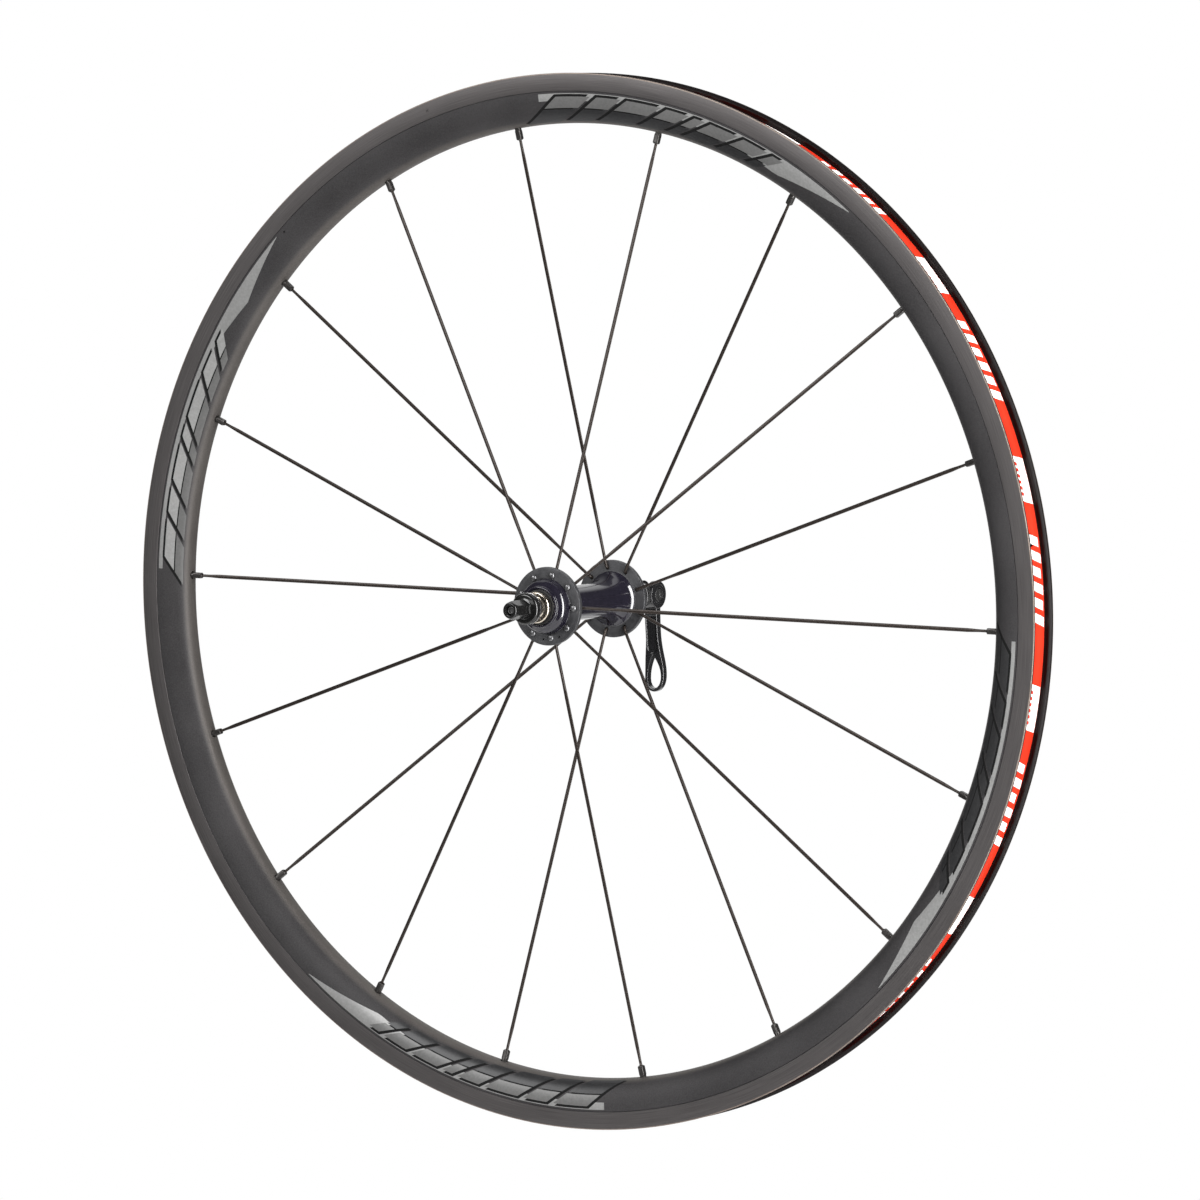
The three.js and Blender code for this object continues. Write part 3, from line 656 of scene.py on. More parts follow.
def on_body(side, slant=0.0, height=0.0):
    """The rim's side as a surface for band(). Patches lean by slant degrees across the side."""
    def place(angle, share, lift):
        radius, y = body_section(share)
        ahead_radius, ahead_y = body_section(min(share + 0.01, 1))
        normal = Vector((ahead_y - y, radius - ahead_radius)).normalized() * (lift + height)
        leaning = math.radians(angle + slant * (share - 0.3))
        if side > 0:
            leaning = math.pi - leaning
        reach = radius + normal.x
        return reach * math.cos(leaning), side * (y + normal.y), reach * math.sin(leaning)
    return place


def even_band(place, start, end, low, high, steps, across=6):
    """A band with the same edges all the way."""
    return band(place, start, end, lambda way: low, lambda way: high, steps, across)


def along(points):
    """A value between points (way, value)."""
    ways, values = zip(*points)
    return lambda way: float(np.interp(way, ways, values))


# A graphic: a silver stripe under the brake track that ends in a blade, and slanted blocks in
# two tones.
GRAPHIC_LENGTH = 43.5  # degrees
GRAPHIC_FOOT = 0.035  # the stripe's edge, as a share of the rim's side
GRAPHIC_SLANT = 7.0
SHADOW_TURN = 0.55
SHADOW_SHIFT = 0.05
SHADOW_HEIGHT = 0.02
BLOCK_HEIGHT = 0.04
BLOCK_GAP = 0.015
# Each block begins so many degrees along the graphic and has its own length.
WIDE = {
    "blocks": ((0.9, 4.6), (6.4, 3.2), (10.4, 4.6), (15.8, 3.0), (19.6, 1.4), (21.8, 3.8),
               (26.4, 3.4), (30.6, 1.5)),
    "stripe": ((0, 0.15), (0.4, 0.16), (0.76, 0.40), (1, 0.01)),
    "head": 0.10, "split": 0.36, "feet": (0.80, 0.52),
}
NARROW = {
    "blocks": ((0.6, 4.6), (6.0, 3.1), (9.9, 4.5), (15.2, 1.7), (17.7, 4.9), (23.4, 3.3),
               (27.6, 1.7)),
    "stripe": ((0, 0.09), (0.6, 0.10), (0.8, 0.34), (1, 0.01)),
    "head": 0.17, "split": 0.42, "feet": (0.66, 0.58),
}
# The pale and dark designs are lit and shaded copies of one printed design: pale carries a painted
# reflection, dark carries painted shade.
DESIGNS = {
    "wide": {**WIDE, "tones": ("decal_grey", "decal_dark")},
    "pale": {**NARROW, "tones": ("decal_pale", "decal_grey")},
    "dark": {**NARROW, "tones": ("decal_dark", "decal_dark")},
}
# The left-hand graphic at 178.2 gets the painted reflection, and the right-hand one at 358.2 gets
# the painted shade.
GRAPHIC_PLACES = ((94.3, "wide"), (178.2, "pale"), (274.5, "wide"), (358.2, "dark"))


def graphic_meshes(side, start, design):
    """Pairs of a finish's name and a patch that make up one graphic."""
    widths = along(design["stripe"])
    stripe = band(on_body(side), start, start - GRAPHIC_LENGTH, lambda way: GRAPHIC_FOOT,
                  lambda way: GRAPHIC_FOOT + widths(way), 60)
    parts = [("decal_silver", stripe)]
    shadow_place = on_body(side, GRAPHIC_SLANT, SHADOW_HEIGHT)
    block_place = on_body(side, GRAPHIC_SLANT, BLOCK_HEIGHT)
    first_foot, last_foot = design["feet"]
    for begin, length in design["blocks"]:
        near, far = start - begin, start - begin - length
        foot = first_foot + (last_foot - first_foot) * begin / GRAPHIC_LENGTH
        shadow = even_band(shadow_place, near + SHADOW_TURN, far + SHADOW_TURN,
                           design["head"] - SHADOW_SHIFT, foot - SHADOW_SHIFT, 10, 10)
        parts.append(("decal_black", shadow))
        spans = ((design["head"], design["split"] - BLOCK_GAP), (design["split"] + BLOCK_GAP, foot))
        for tone, (low, high) in zip(design["tones"], spans):
            parts.append((tone, even_band(block_place, near, far, low, high, 10)))
    return parts


def make_graphics():
    groups = {}
    for side in (-1, 1):
        for start, design in GRAPHIC_PLACES:
            for tone, mesh in graphic_meshes(side, start, DESIGNS[design]):
                groups.setdefault(tone, []).append(mesh)
    for tone, meshes in groups.items():
        name = tone.replace("decal", "rim_graphics")
        piece = add_piece(name, joined(name, meshes))
        finish_piece(piece, "wheel", "rim", tone)


def on_tape(slant, height=0.0):
    """The tape's outside as a surface for band(); share runs across it from -y to +y."""
    def place(angle, share, lift):
        y = (2 * share - 1) * TAPE_HALF_WIDTH
        radius = tape_radius(y) + lift + height
        leaning = math.radians(angle + slant * (share - 0.5))
        return radius * math.cos(leaning), y, radius * math.sin(leaning)
    return place


TAPE_REPEATS = 14
TAPE_PERIOD = 24.5  # degrees; the rest is the plain overlap at the joint
TAPE_FIRST = -6
PATCH_START = 13.15
PATCH_LENGTH = 4.95
PATCH_SLANT = -0.9
DASH_COUNT = 6
DASH_START = 0.6
DASH_STEP = 0.66
DASH_LENGTH = 0.38
DASH_HEIGHT = 0.05
BAR_START = 0.2
BAR_STEP = 1.68
BAR_LENGTH = 1.0
BAR_SLANT = -1.2
BAR_ENDS = ((0.22, 0.97), (0.30, 0.92), (0.34, 0.96), (0.42, 0.88), (0.44, 0.96), (0.50, 0.90))


def make_tape_patches():
    """White patches with red dashes round the tape, and rows of bars between them, all slanted."""
    white, red = [], []
    patch_place, dash_place = on_tape(PATCH_SLANT), on_tape(PATCH_SLANT, DASH_HEIGHT)
    bar_place = on_tape(BAR_SLANT)
    for repeat in range(TAPE_FIRST, TAPE_FIRST + TAPE_REPEATS):
        turn = repeat * TAPE_PERIOD
        start = PATCH_START + turn
        end = start + PATCH_LENGTH
        white.append(even_band(patch_place, start, end, 0.02, 0.98, 8, 24))
        for k in range(DASH_COUNT):
            dash = start + DASH_START + DASH_STEP * k
            red.append(even_band(dash_place, dash, dash + DASH_LENGTH, 0.36, 0.6, 2))
        for k, (low, high) in enumerate(BAR_ENDS):
            bar = BAR_START + turn + BAR_STEP * k
            white.append(even_band(bar_place, bar, bar + BAR_LENGTH, low, high, 2, 14))
    groups = (("tape_patches_white", white, "tape_white"), ("tape_dashes_red", red, "tape_red"))
    for name, meshes, key in groups:
        piece = add_piece(name, joined(name, meshes))
        finish_piece(piece, "wheel", "rim_tape", key)


# ---------- spokes and nipples ----------

def superellipse(half_width, half_thickness, power, count=20):
    """Points round an ellipse, squarer with a higher power."""
    angles = full_turn(count)
    cosine, sine = np.cos(angles), np.sin(angles)
    reach = (np.abs(cosine) ** power + np.abs(sine) ** power) ** (-1 / power)
    return half_width * reach * cosine, half_thickness * reach * sine


def bar_through(name, stations):
    """A bar in the XY plane through stations (x, y, half width along Z, half thickness, power)."""
    rings = []
    for index, (x, y, half_width, half_thickness, power) in enumerate(stations):
        before = stations[max(index - 1, 0)]
        after = stations[min(index + 1, len(stations) - 1)]
        along = Vector((after[0] - before[0], after[1] - before[1])).normalized()
        wide, thick = superellipse(half_width, half_thickness, power)
        rings.append(np.stack([x - along.y * thick, y + along.x * thick, wide], axis=1))
    return skin(name, rings)


SPOKE_BUTT = 0.93  # radius of the round part at the hub
SPOKE_BEND = 1.6
SPOKE_LEAN = math.atan2(SPOKE_PLANE, BED_RADIUS - HOLES_RADIUS)
# The head's rise above the flange, and its radius.
SPOKE_HEAD = ((1.08, 0.5), (1.0, 1.1), (0.75, 1.6), (0.4, 1.9), (0.12, 2.0), (0.0, 1.9))
# Distance from the wheel's axis, half width, half thickness and squareness, from the butt outwards.
SPOKE_SECTIONS = (
    *((radius, SPOKE_BUTT, SPOKE_BUTT, 2) for radius in (24, 36, 48)),
    (50.5, 1.0, 0.80, 2.2), (53, 1.10, 0.60, 2.5),
    *((radius, 1.15, 0.50, 2.8) for radius in (56, 90, 163, 240, 268)),
    (271, 1.05, 0.62, 2.4), (273.5, 0.92, 0.78, 2.1), (276, 0.85, 0.85, 2),
    (NIPPLE_START + 9, 0.85, 0.85, 2),
)


def spoke_offset(radius):
    """How far a spoke's middle is from the wheel's plane."""
    return SPOKE_PLANE * (BED_RADIUS - radius) / (BED_RADIUS - HOLES_RADIUS)


def spoke_mesh(side):
    """A J-bend spoke: domed head, elbow, round butt, long blade, round end inside the nipple."""
    head = FLANGE_OUTSIDE + 0.3
    sizes = [(head + rise, size) for rise, size in SPOKE_HEAD]
    sizes += [(head - 0.05, SPOKE_BUTT + 0.25), (head - 0.35, SPOKE_BUTT)]
    stations = [(HOLES_RADIUS, y, size, size, 2) for y, size in sizes]
    start_y = SPOKE_PLANE + SPOKE_BEND * 0.98
    for step in range(9):
        turn = (math.pi / 2 - SPOKE_LEAN) * step / 8
        x = HOLES_RADIUS + SPOKE_BEND * (1 - math.cos(turn))
        y = start_y - SPOKE_BEND * math.sin(turn)
        stations.append((x, y, SPOKE_BUTT, SPOKE_BUTT, 2))
    for radius, wide, thick, power in SPOKE_SECTIONS:
        stations.append((radius, spoke_offset(radius), wide, thick, power))
    return bar_through("spoke", [(x, side * y, w, t, p) for x, y, w, t, p in stations])


NIPPLE_SIDES = 28
# Distance from the nipple's inner end, radius and squareness: the outside, then the bore.
NIPPLE_OUTSIDE = (
    (0, 1.35, 2), (0.25, 1.62, 2.4), (0.5, 1.72, 5), (0.9, 1.76, 7), (5.2, 1.76, 7), (5.7, 1.86, 4),
    (6.1, 1.98, 2), (10.3, 1.98, 2), (10.5, 2.4, 2), (11.0, 2.9, 2), (12.4, 2.9, 2), (13, 2.4, 2),
)
NIPPLE_BORE = ((13, 1.15, 2), (12, 1.1, 2), (0.4, 1.1, 2), (0, 1.25, 2))


def nipple_mesh(side):
    """Square drive flats at the inner end, a round shoulder, and a head hidden in the rim."""
    rings = []
    for along, size, power in NIPPLE_OUTSIDE + NIPPLE_BORE:
        wide, thick = superellipse(size, size, power, NIPPLE_SIDES)
        rings.append(np.stack([np.full(NIPPLE_SIDES, float(along)), thick, wide], axis=1))
    mesh = skin("nipple", rings, loop=True)
    along_spoke = shift(BED_RADIUS, 0, 0) @ Matrix.Rotation(-side * SPOKE_LEAN, 4, "Z")
    return moved(mesh, along_spoke @ shift(NIPPLE_START - BED_RADIUS, 0, 0))


def make_spokes():
    kinds = (("bladed_spoke", spoke_mesh, "spoke", "spoke_black"),
             ("spoke_nipple", nipple_mesh, "nipple", "nipple_gunmetal"))
    for index, angle in enumerate(SPOKE_ANGLES):
        number = f"{index + 1:02d}"
        for name, make_mesh, kind, finish in kinds:
            mesh = moved(make_mesh(spoke_side(index)), angle_to_matrix(angle))
            piece = add_piece(f"{name}_{number}", mesh)
            finish_piece(piece, "wheel", kind, finish, [f"{kind}_{number}"])


# ---------- hub ----------

HUB_HALF = [
    (11.9, HUB_END, 0.25), (12.5, HUB_END - 0.55, 0.25), (12.5, HUB_END - 1.6, 0.2),
    (12.8, HUB_END - 1.9, 0.2), (14.5, HUB_END - 2.9, 0.5), (15.7, HUB_END - 4.15, 0.5),
    (15.9, HUB_END - 5.4, 0.6), (16.1, FLANGE_OUTSIDE + 0.5, 0.5),
    (16.4, FLANGE_OUTSIDE + 0.05, 0.2), (16.6, FLANGE_OUTSIDE - 0.25, 0.1),
    (17.0, FLANGE_OUTSIDE - 0.02, 0.1), (FLANGE_RADIUS, FLANGE_OUTSIDE - 0.02, 0.55),
    (FLANGE_RADIUS, FLANGE_INSIDE + 0.02, 0.55), (16.9, FLANGE_INSIDE + 0.02, 0.2),
    (16.2, FLANGE_INSIDE - 0.5, 0.5), (14.3, FLANGE_INSIDE - 2.8, 2.4),
    (12.0, FLANGE_INSIDE - 8.5, 5), (10.9, FLANGE_INSIDE - 17, 6), (10.55, 0, 0),
]
HUB_BORE = [(8.6, HUB_END - 7.2, 0.2), (11, HUB_END - 7.2, 0.1), (11, HUB_END, 0.2)]
DIMPLE_ANGLES = (-97.0, -64.0)
FLANGE_DISC_RADIUS = 16.45


def make_hub():
    outside = on_side(-1, HUB_HALF) + HUB_HALF[-2::-1]
    outline = rounded(outside + HUB_BORE[::-1] + on_side(-1, HUB_BORE), steps=5)
    piece = add_piece("hub_body", turned_mesh("hub_body", outline, 192))
    tools = []
    for index, angle in enumerate(SPOKE_ANGLES):
        side = spoke_side(index)
        span = sorted((side * (FLANGE_INSIDE - 0.3), side * (FLANGE_OUTSIDE + 0.5)))
        tool = axial_drill(1.35, *span)
        tools.append(moved(tool, angle_to_matrix(angle) @ shift(HOLES_RADIUS, 0, 0)))
    for angle in DIMPLE_ANGLES:
        tool = axial_drill(0.6, -FLANGE_OUTSIDE - 0.5, -FLANGE_OUTSIDE + 1.4, 16)
        tools.append(moved(tool, angle_to_matrix(angle) @ shift(20, 0, 0)))
    combine(piece, joined("tools", tools))
    finish_piece(piece, "wheel", "hub", "hub_gloss", ["hub_shell"])
    piece.data.materials.append(FINISHES["flange_satin"])
    for face in piece.data.polygons:
        radius = math.hypot(face.center.x, face.center.z) / MM
        if radius > FLANGE_DISC_RADIUS and abs(face.center.y) / MM > FLANGE_INSIDE - 0.2:
            face.material_index = 1


# ---------- axle, end caps and bearings ----------

def threaded(radius, start, end, pitch=0.8, depth=0.28):
    """Corners of a round bar's outer edge with thread-like grooves, along +Y."""
    corners = []
    turns = int((end - start) / pitch)
    for turn in range(turns):
        y = start + turn * pitch
        crest = [(radius, y + 0.15 * pitch, 0), (radius, y + 0.35 * pitch, 0)]
        corners += crest + [(radius - depth, y + 0.75 * pitch, 0)]
    return corners


AXLE_SHOULDER = 39
AXLE_SEAT_END = 45.6
END_CAP_START = 46.1


def make_axle():
    """A hollow axle: a wide middle, seats for the bearings and threaded ends."""
    half = threaded(4.48, DROPOUT_FACE - 3, AXLE_END - 0.6, 1.0, 0.3)
    half += [(4.4, AXLE_END - 0.5, 0.1), (4.0, AXLE_END, 0.1), (2.95, AXLE_END, 0.2)]
    shaft = [(6.55, AXLE_SHOULDER, 0.2), (4.68, AXLE_SHOULDER + 0.1, 0.1),
             (4.68, AXLE_SEAT_END, 0.1), (4.48, AXLE_SEAT_END + 0.1, 0)]
    upper = shaft + half
    outline = rounded(on_side(-1, upper[::-1]) + upper, steps=3)
    piece = add_piece("axle_tube", turned_mesh("axle_tube", outline, 64))
    finish_piece(piece, "axle", "axle", "axle_black", ["axle"])


def make_end_caps():
    """Lock nuts with a polished, slightly dished face between two raised rims."""
    for side, label in SIDES:
        corners = [
            (4.85, END_CAP_START, 0.1), (6.75, END_CAP_START, 0.1), (6.75, HUB_END + 0.55, 0.1),
            (9.0, HUB_END + 0.55, 0.3), (9.38, HUB_END + 1.0, 0.2), (9.38, DROPOUT_FACE - 0.5, 0.4),
            (8.8, DROPOUT_FACE, 0.3), (8.3, DROPOUT_FACE, 0.2), (8.0, DROPOUT_FACE - 0.35, 0.2),
            (6.4, DROPOUT_FACE - 0.6, 0.6), (5.7, DROPOUT_FACE, 0.2), (4.85, DROPOUT_FACE, 0.3),
        ]
        cap = turned(f"{label}_lock_nut", corners, 160, side)
        finish_piece(cap, "axle", "end_cap", "end_cap_polished", [f"{label}_end_cap"])


def finish_cad_nodes():
    """The pieces inside the bearings keep their CAD shapes."""
    for label in ("left", "right"):
        for part in ("outer_race", "inner_race", "balls"):
            dress(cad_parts[f"{label}_{part}"], "ground_steel")


def make_seals():
    for side, label in SIDES:
        corners = [
            (7.45, HUB_END - 0.6, 0.1), (10.6, HUB_END - 0.6, 0.1), (10.6, HUB_END - 0.1, 0.2),
            (9.6, HUB_END - 0.1, 0.2), (9.2, HUB_END - 0.3, 0.2), (8.3, HUB_END - 0.3, 0.2),
            (7.9, HUB_END - 0.1, 0.2), (7.45, HUB_END - 0.1, 0.2),
        ]
        seal = turned(f"{label}_bearing_seal", corners, 128, side)
        finish_piece(seal, "wheel", "seal", "seal_rubber", [f"{label}_seal"])


# ---------- skewer ----------

def make_rod():
    """The skewer rod: threaded at the nut's end, with a hollow tip, plain towards the lever."""
    start = -ROD_END
    tip = [(0, start - 0.9, 0), (1.3, start - 0.9, 0.2), (1.6, start, 0.1), (2.2, start, 0.2)]
    thread = list(reversed(threaded(2.48, 58, start - 0.5)))
    shank = [(2.4, 57.5, 0.2), (2.4, -ROD_TIP + 0.4, 0.3), (0, -ROD_TIP + 0.4, 0)]
    outline = rounded(on_side(-1, tip + thread + shank), False)
    piece = add_piece("skewer_shaft", turned_mesh("skewer_shaft", outline, 48, False))
    finish_piece(piece, "skewer", "rod", "rod_steel", ["skewer_rod"])


TOOTH_COUNT = 30
TOOTH_DEPTH = 0.45


def serrated(side):
    """Radial teeth on the face at CLAMP_FACE."""
    def reshape(radii, heights, angles):
        on_face = np.abs(heights) < CLAMP_FACE + 0.05
        teeth = np.abs(((angles * TOOTH_COUNT / (2 * math.pi)) % 1) - 0.5) * 2
        return radii, heights + side * TOOTH_DEPTH * teeth * on_face
    return reshape


def make_clamp_rings():
    for side, name, node, body in ((-1, "nut_steel_ring", "nut_clamp_ring", "nut_ring"),
                                   (1, "cap_steel_ring", "cap_clamp_ring", "clamp_washer")):
        corners = [
            (5.45, CLAMP_FACE, 0), (7.4, CLAMP_FACE, 0), (9.3, CLAMP_FACE, 0),
            (9.48, CLAMP_FACE + 0.55, 0.1), (9.48, CLAMP_FACE + 1.6, 0.15),
            (5.45, CLAMP_FACE + 1.6, 0.15),
        ]
        ring = turned(name, corners, 240, side, reshape=serrated(side))
        finish_piece(ring, body, "clamp_ring", "serrated_steel", [node], 25)


HEX_APOTHEM = 5
HEX_CORNER_RADIUS = 5.66


def hexagon_boss(radii, heights, angles):
    """Six crisp flats, one facing +X, on the boss beyond the shoulder."""
    sector = math.pi / 3
    hexagon = HEX_APOTHEM / np.cos((angles + sector / 2) % sector - sector / 2)
    hexagon = np.minimum(hexagon, HEX_CORNER_RADIUS)
    on_boss = (np.abs(heights) > NUT_SHOULDER + 0.15) & (radii > 3.4)
    return np.where(on_boss, np.minimum(radii, hexagon), radii), heights


def make_nut():
    corners = [
        (2.85, CLAMP_FACE + 1.9, 0.1), (9.45, CLAMP_FACE + 1.9, 0.25),
        (9.45, NUT_SHOULDER - 1.0, 0.5), (8.5, NUT_SHOULDER, 0.6), (6.3, NUT_SHOULDER + 0.05, 0.1),
        (5.9, NUT_SHOULDER + 0.3, 0), (5.9, NUT_SHOULDER + 4, 0), (5.9, NUT_END - 3.2, 0),
        (5.75, NUT_END - 2.9, 0), (5.35, NUT_END - 2.0, 0.5), (4.75, NUT_END - 0.5, 0.7),
        (4.3, NUT_END - 0.05, 0.3), (3.0, NUT_END - 0.05, 0.25), (2.85, NUT_END - 1.4, 0),
    ]
    nut = turned("nut_body", corners, 240, -1, reshape=hexagon_boss)
    finish_piece(nut, "nut", "skewer_black", "nut_black", ["adjusting_nut"], 24)


CAP_BORE = 3.2
CAP_GROOVE_START = 60.6
CAP_GROOVE_END = 61.7
CAP_END = 65.95
POCKET_RADIUS = 7.92
POCKET_FLOOR = 62.05
SEAT_RADIUS = 10.02  # the hollow for the cam


def make_cap_and_bush():
    """The clamp cap with a groove round it, and the bush with a hollow seat in the cap's pocket."""
    edge = CAP_RADIUS - 0.05
    cap_corners = [
        (CAP_BORE, CLAMP_FACE + 1.95, 0.1), (edge, CLAMP_FACE + 1.95, 0.3),
        (edge, CAP_GROOVE_START, 0.2), (edge - 0.4, CAP_GROOVE_START + 0.3, 0.2),
        (edge - 0.4, CAP_GROOVE_END - 0.3, 0.2), (edge - 0.05, CAP_GROOVE_END, 0.3),
        (edge - 0.65, CAP_END - 1.55, 0.8), (POCKET_RADIUS + 0.13, CAP_END, 0.15),
        (POCKET_RADIUS, CAP_END, 0.1), (POCKET_RADIUS, POCKET_FLOOR, 0.1),
        (CAP_BORE, POCKET_FLOOR, 0.2),
    ]
    cap = turned("clamp_cap_body", cap_corners, 128)
    finish_piece(cap, "clamp_washer", "skewer_black", "nut_black", ["clamp_cap"])
    rim = BUSH_RADIUS - 0.05
    start, end = POCKET_FLOOR + 0.3, BUSH_END - 0.05
    bush_corners = [
        (CAP_BORE, start, 0.2), (rim, start, 0.3), (rim, end, 0.3), (CAP_BORE, end, 0.2),
    ]
    bush = turned("cam_bush_body", bush_corners, 128)
    seat_y = CAM_Y - CAM_RADIUS - 0.3 + SEAT_RADIUS
    combine(bush, moved(drill(SEAT_RADIUS, -12, 12, 160), shift(0, seat_y, 0)))
    finish_piece(bush, "clamp_washer", "bush", "bush_polymer", ["cam_bush"])


def barrel_mesh(name, outline, y):
    """A piece turned about an axis along X at a distance y: outline is (radius, x)."""
    mesh = turned_mesh(name, outline, 96, loop=False)
    mesh.transform(Matrix.Rotation(-math.pi / 2, 4, "Z"))
    return moved(mesh, shift(0, y, 0))


def make_pivot():
    """The cross pin, with a stepped recess in each end and a hole for the rod."""
    half = HEAD_HALF_WIDTH - 0.4
    recess = [(0, half - 0.7, 0), (1.7, half - 0.7, 0.2), (2.0, half, 0.15), (3.95, half, 0.4)]
    corners = on_side(-1, recess) + recess[::-1]
    piece = add_piece("pivot_pin", barrel_mesh("pivot_pin", rounded(corners, False), PIVOT_Y))
    combine(piece, axial_drill(2.75, PIVOT_Y - 8, PIVOT_Y + 2.3))
    finish_piece(piece, "skewer", "pivot", "pivot_dark", ["pivot_barrel"])


# Distance of the arm's middle from the pivot, and height.
ARM_CURVE = ((4, 2), (4.6, -18), (6.4, -34), (8.25, -48), (7.2, -LEVER_LENGTH - 1))
ARM_HALF_WIDTH = 4.45
ARM_HALF_DEPTH = 2.75
ARM_FILLET = 0.9
LOOP_HALF_WIDTH = 6.85
LOOP_OPENING_HALF_WIDTH = 4.7
LOOP_OPENING_TOP = -37
PANEL_TOP = -13
PANEL_BOTTOM = -33
PANEL_DEPTH = 0.9
SLOT_HALF_WIDTH = 3.1


def arm_middle(z):
    """Distance of the arm's middle from the pivot at a height, through ARM_CURVE's points."""
    heights = [point[1] for point in reversed(ARM_CURVE)]
    distances = [point[0] for point in reversed(ARM_CURVE)]
    slopes = np.gradient(distances, heights)
    index = int(np.clip(np.searchsorted(heights, z) - 1, 0, len(heights) - 2))
    span = heights[index + 1] - heights[index]
    t = min(max((z - heights[index]) / span, 0), 1)
    h00, h10 = 2 * t ** 3 - 3 * t ** 2 + 1, t ** 3 - 2 * t ** 2 + t
    h01, h11 = -2 * t ** 3 + 3 * t ** 2, t ** 3 - t ** 2
    return (h00 * distances[index] + h10 * span * slopes[index]
            + h01 * distances[index + 1] + h11 * span * slopes[index + 1])


def prism(name, outline, low, high, axis="Y"):
    """An outline extruded along X (outline in y, z) or along Y (outline in x, z)."""
    rings = [[(at, u, v) if axis == "X" else (u, at, v) for u, v in outline] for at in (low, high)]
    return skin(name, rings)


def arm_taper(z):
    """The arm thins by a fifth towards its end."""
    return 1 - 0.2 * min(max((2 - z) / (LEVER_LENGTH + 3), 0), 1)


def arm_slab(inner, outer):
    """The space between two distances from the arm's middle, inner and outer."""
    heights = np.linspace(2, -LEVER_LENGTH - 1, 48)
    near = [(PIVOT_Y + arm_middle(z) + inner * arm_taper(z), z) for z in heights]
    far = [(PIVOT_Y + arm_middle(z) + outer * arm_taper(z), z) for z in reversed(heights)]
    return prism("slab", near + far, -10, 10, "X")


def smooth_line(points, steps=10):
    """A curve of cubic segments: points holds start, control, control, end, control, ..."""
    line = []
    for i in range(0, len(points) - 1, 3):
        a, b, c, d = (Vector(point) for point in points[i:i + 4])
        for step in range(steps):
            t = step / steps
            near_part = a * (1 - t) ** 3 + b * 3 * t * (1 - t) ** 2
            line.append(tuple(near_part + c * 3 * t * t * (1 - t) + d * t ** 3))
    return line


def rounded_section(half_width, half_thickness, fillet, steps=6):
    """Points round a rectangle with rounded corners."""
    fillet = min(fillet, half_width, half_thickness)
    points = []
    for corner, (along, across) in enumerate(((1, 1), (-1, 1), (-1, -1), (1, -1))):
        for step in range(steps):
            angle = math.pi / 2 * (corner + step / (steps - 1))
            points.append((along * (half_width - fillet) + fillet * math.cos(angle),
                           across * (half_thickness - fillet) + fillet * math.sin(angle)))
    return points


def arm_mesh():
    """The arm as rounded sections, from inside the head down to the end of the loop."""
    width, loop, end = ARM_HALF_WIDTH, LOOP_HALF_WIDTH, -LEVER_LENGTH
    edge = smooth_line([
        (width, 0), (width, -8), (width, -16), (width, -24), (width, -34), (loop, -40),
        (loop, end + 9.4), (loop, end + 3), (3.6, end), (0.01, end),
    ], 16)
    rings = []
    for half_width, z in edge + [(0.01, end)]:
        near_end = 1 - min((z - end) / ARM_FILLET, 1)
        rounding = ARM_FILLET * (1 - math.sqrt(1 - near_end ** 2))
        section = rounded_section(half_width, ARM_HALF_DEPTH * arm_taper(z) - rounding, ARM_FILLET)
        rings.append([(x, PIVOT_Y + arm_middle(z) + y, z) for x, y in section])
    return skin("arm", rings)


def loop_outline():
    """The teardrop opening in the lever's end."""
    width, top, end = LOOP_OPENING_HALF_WIDTH, LOOP_OPENING_TOP, -LEVER_LENGTH + 2.2
    right = [(0, top), (1.2, top - 3), (width, top - 7), (width, end + 6.8), (width, end + 2.2),
             (2.6, end), (0, end)]
    left = [(-x, z) for x, z in reversed(right)]
    return smooth_line(right + left[1:])


def panel_outline():
    """The sunken panel: square at the head's end, round towards the loop."""
    width = ARM_HALF_WIDTH - 0.9
    arc = [(width * math.cos(t), PANEL_BOTTOM - width * math.sin(t))
           for t in np.linspace(0, math.pi, 13)]
    return [(width, PANEL_TOP)] + arc + [(-width, PANEL_TOP)]


def make_lever():
    """A forged lever: a cam head slotted for the rod, and a looped arm with a recessed panel."""
    half = HEAD_HALF_WIDTH - 0.05
    cam = CAM_RADIUS - 0.05
    cheek = [(0, half, 0), (4.9, half, 0.1), (5.1, half - 0.45, 0.1), (6.4, half - 0.45, 0.1),
             (6.6, half, 0.1), (cam, half, 0.7)]
    head = on_side(-1, cheek) + cheek[::-1]
    piece = add_piece("lever_body", arm_mesh())
    combine(piece, barrel_mesh("head", rounded(head, False), CAM_Y), "UNION")
    panel = add_piece("panel", prism("panel", panel_outline(), PIVOT_Y - 5, PIVOT_Y + 15))
    combine(panel, arm_slab(-2 * ARM_HALF_DEPTH, PANEL_DEPTH - ARM_HALF_DEPTH), "INTERSECT")
    panel_mesh = panel.data
    bpy.data.objects.remove(panel)
    combine(piece, panel_mesh)
    combine(piece, prism("loop", loop_outline(), PIVOT_Y - 5, PIVOT_Y + 16))
    slot = SLOT_HALF_WIDTH
    corners = [(-slot, -slot), (slot, -slot), (slot, 11), (-slot, 11)]
    combine(piece, prism("slot", corners, PIVOT_Y - 10, PIVOT_Y + 10))
    combine(piece, moved(drill(4.32, -12, 12, 64), shift(0, PIVOT_Y, 0)))
    remesh = piece.modifiers.new("remesh", "REMESH")
    remesh.mode = "VOXEL"
    remesh.voxel_size = 0.2 * MM
    smooth = piece.modifiers.new("smooth", "SMOOTH")
    smooth.factor = 0.5
    smooth.iterations = 22
    bake_modifiers(piece)
    finish_piece(piece, "lever", "skewer_black", "lever_black", ["lever"], 180)


# ---------- placing, floor and light ----------

def dress(piece, finish):
    piece.data.materials.clear()
    piece.data.materials.append(FINISHES[finish])


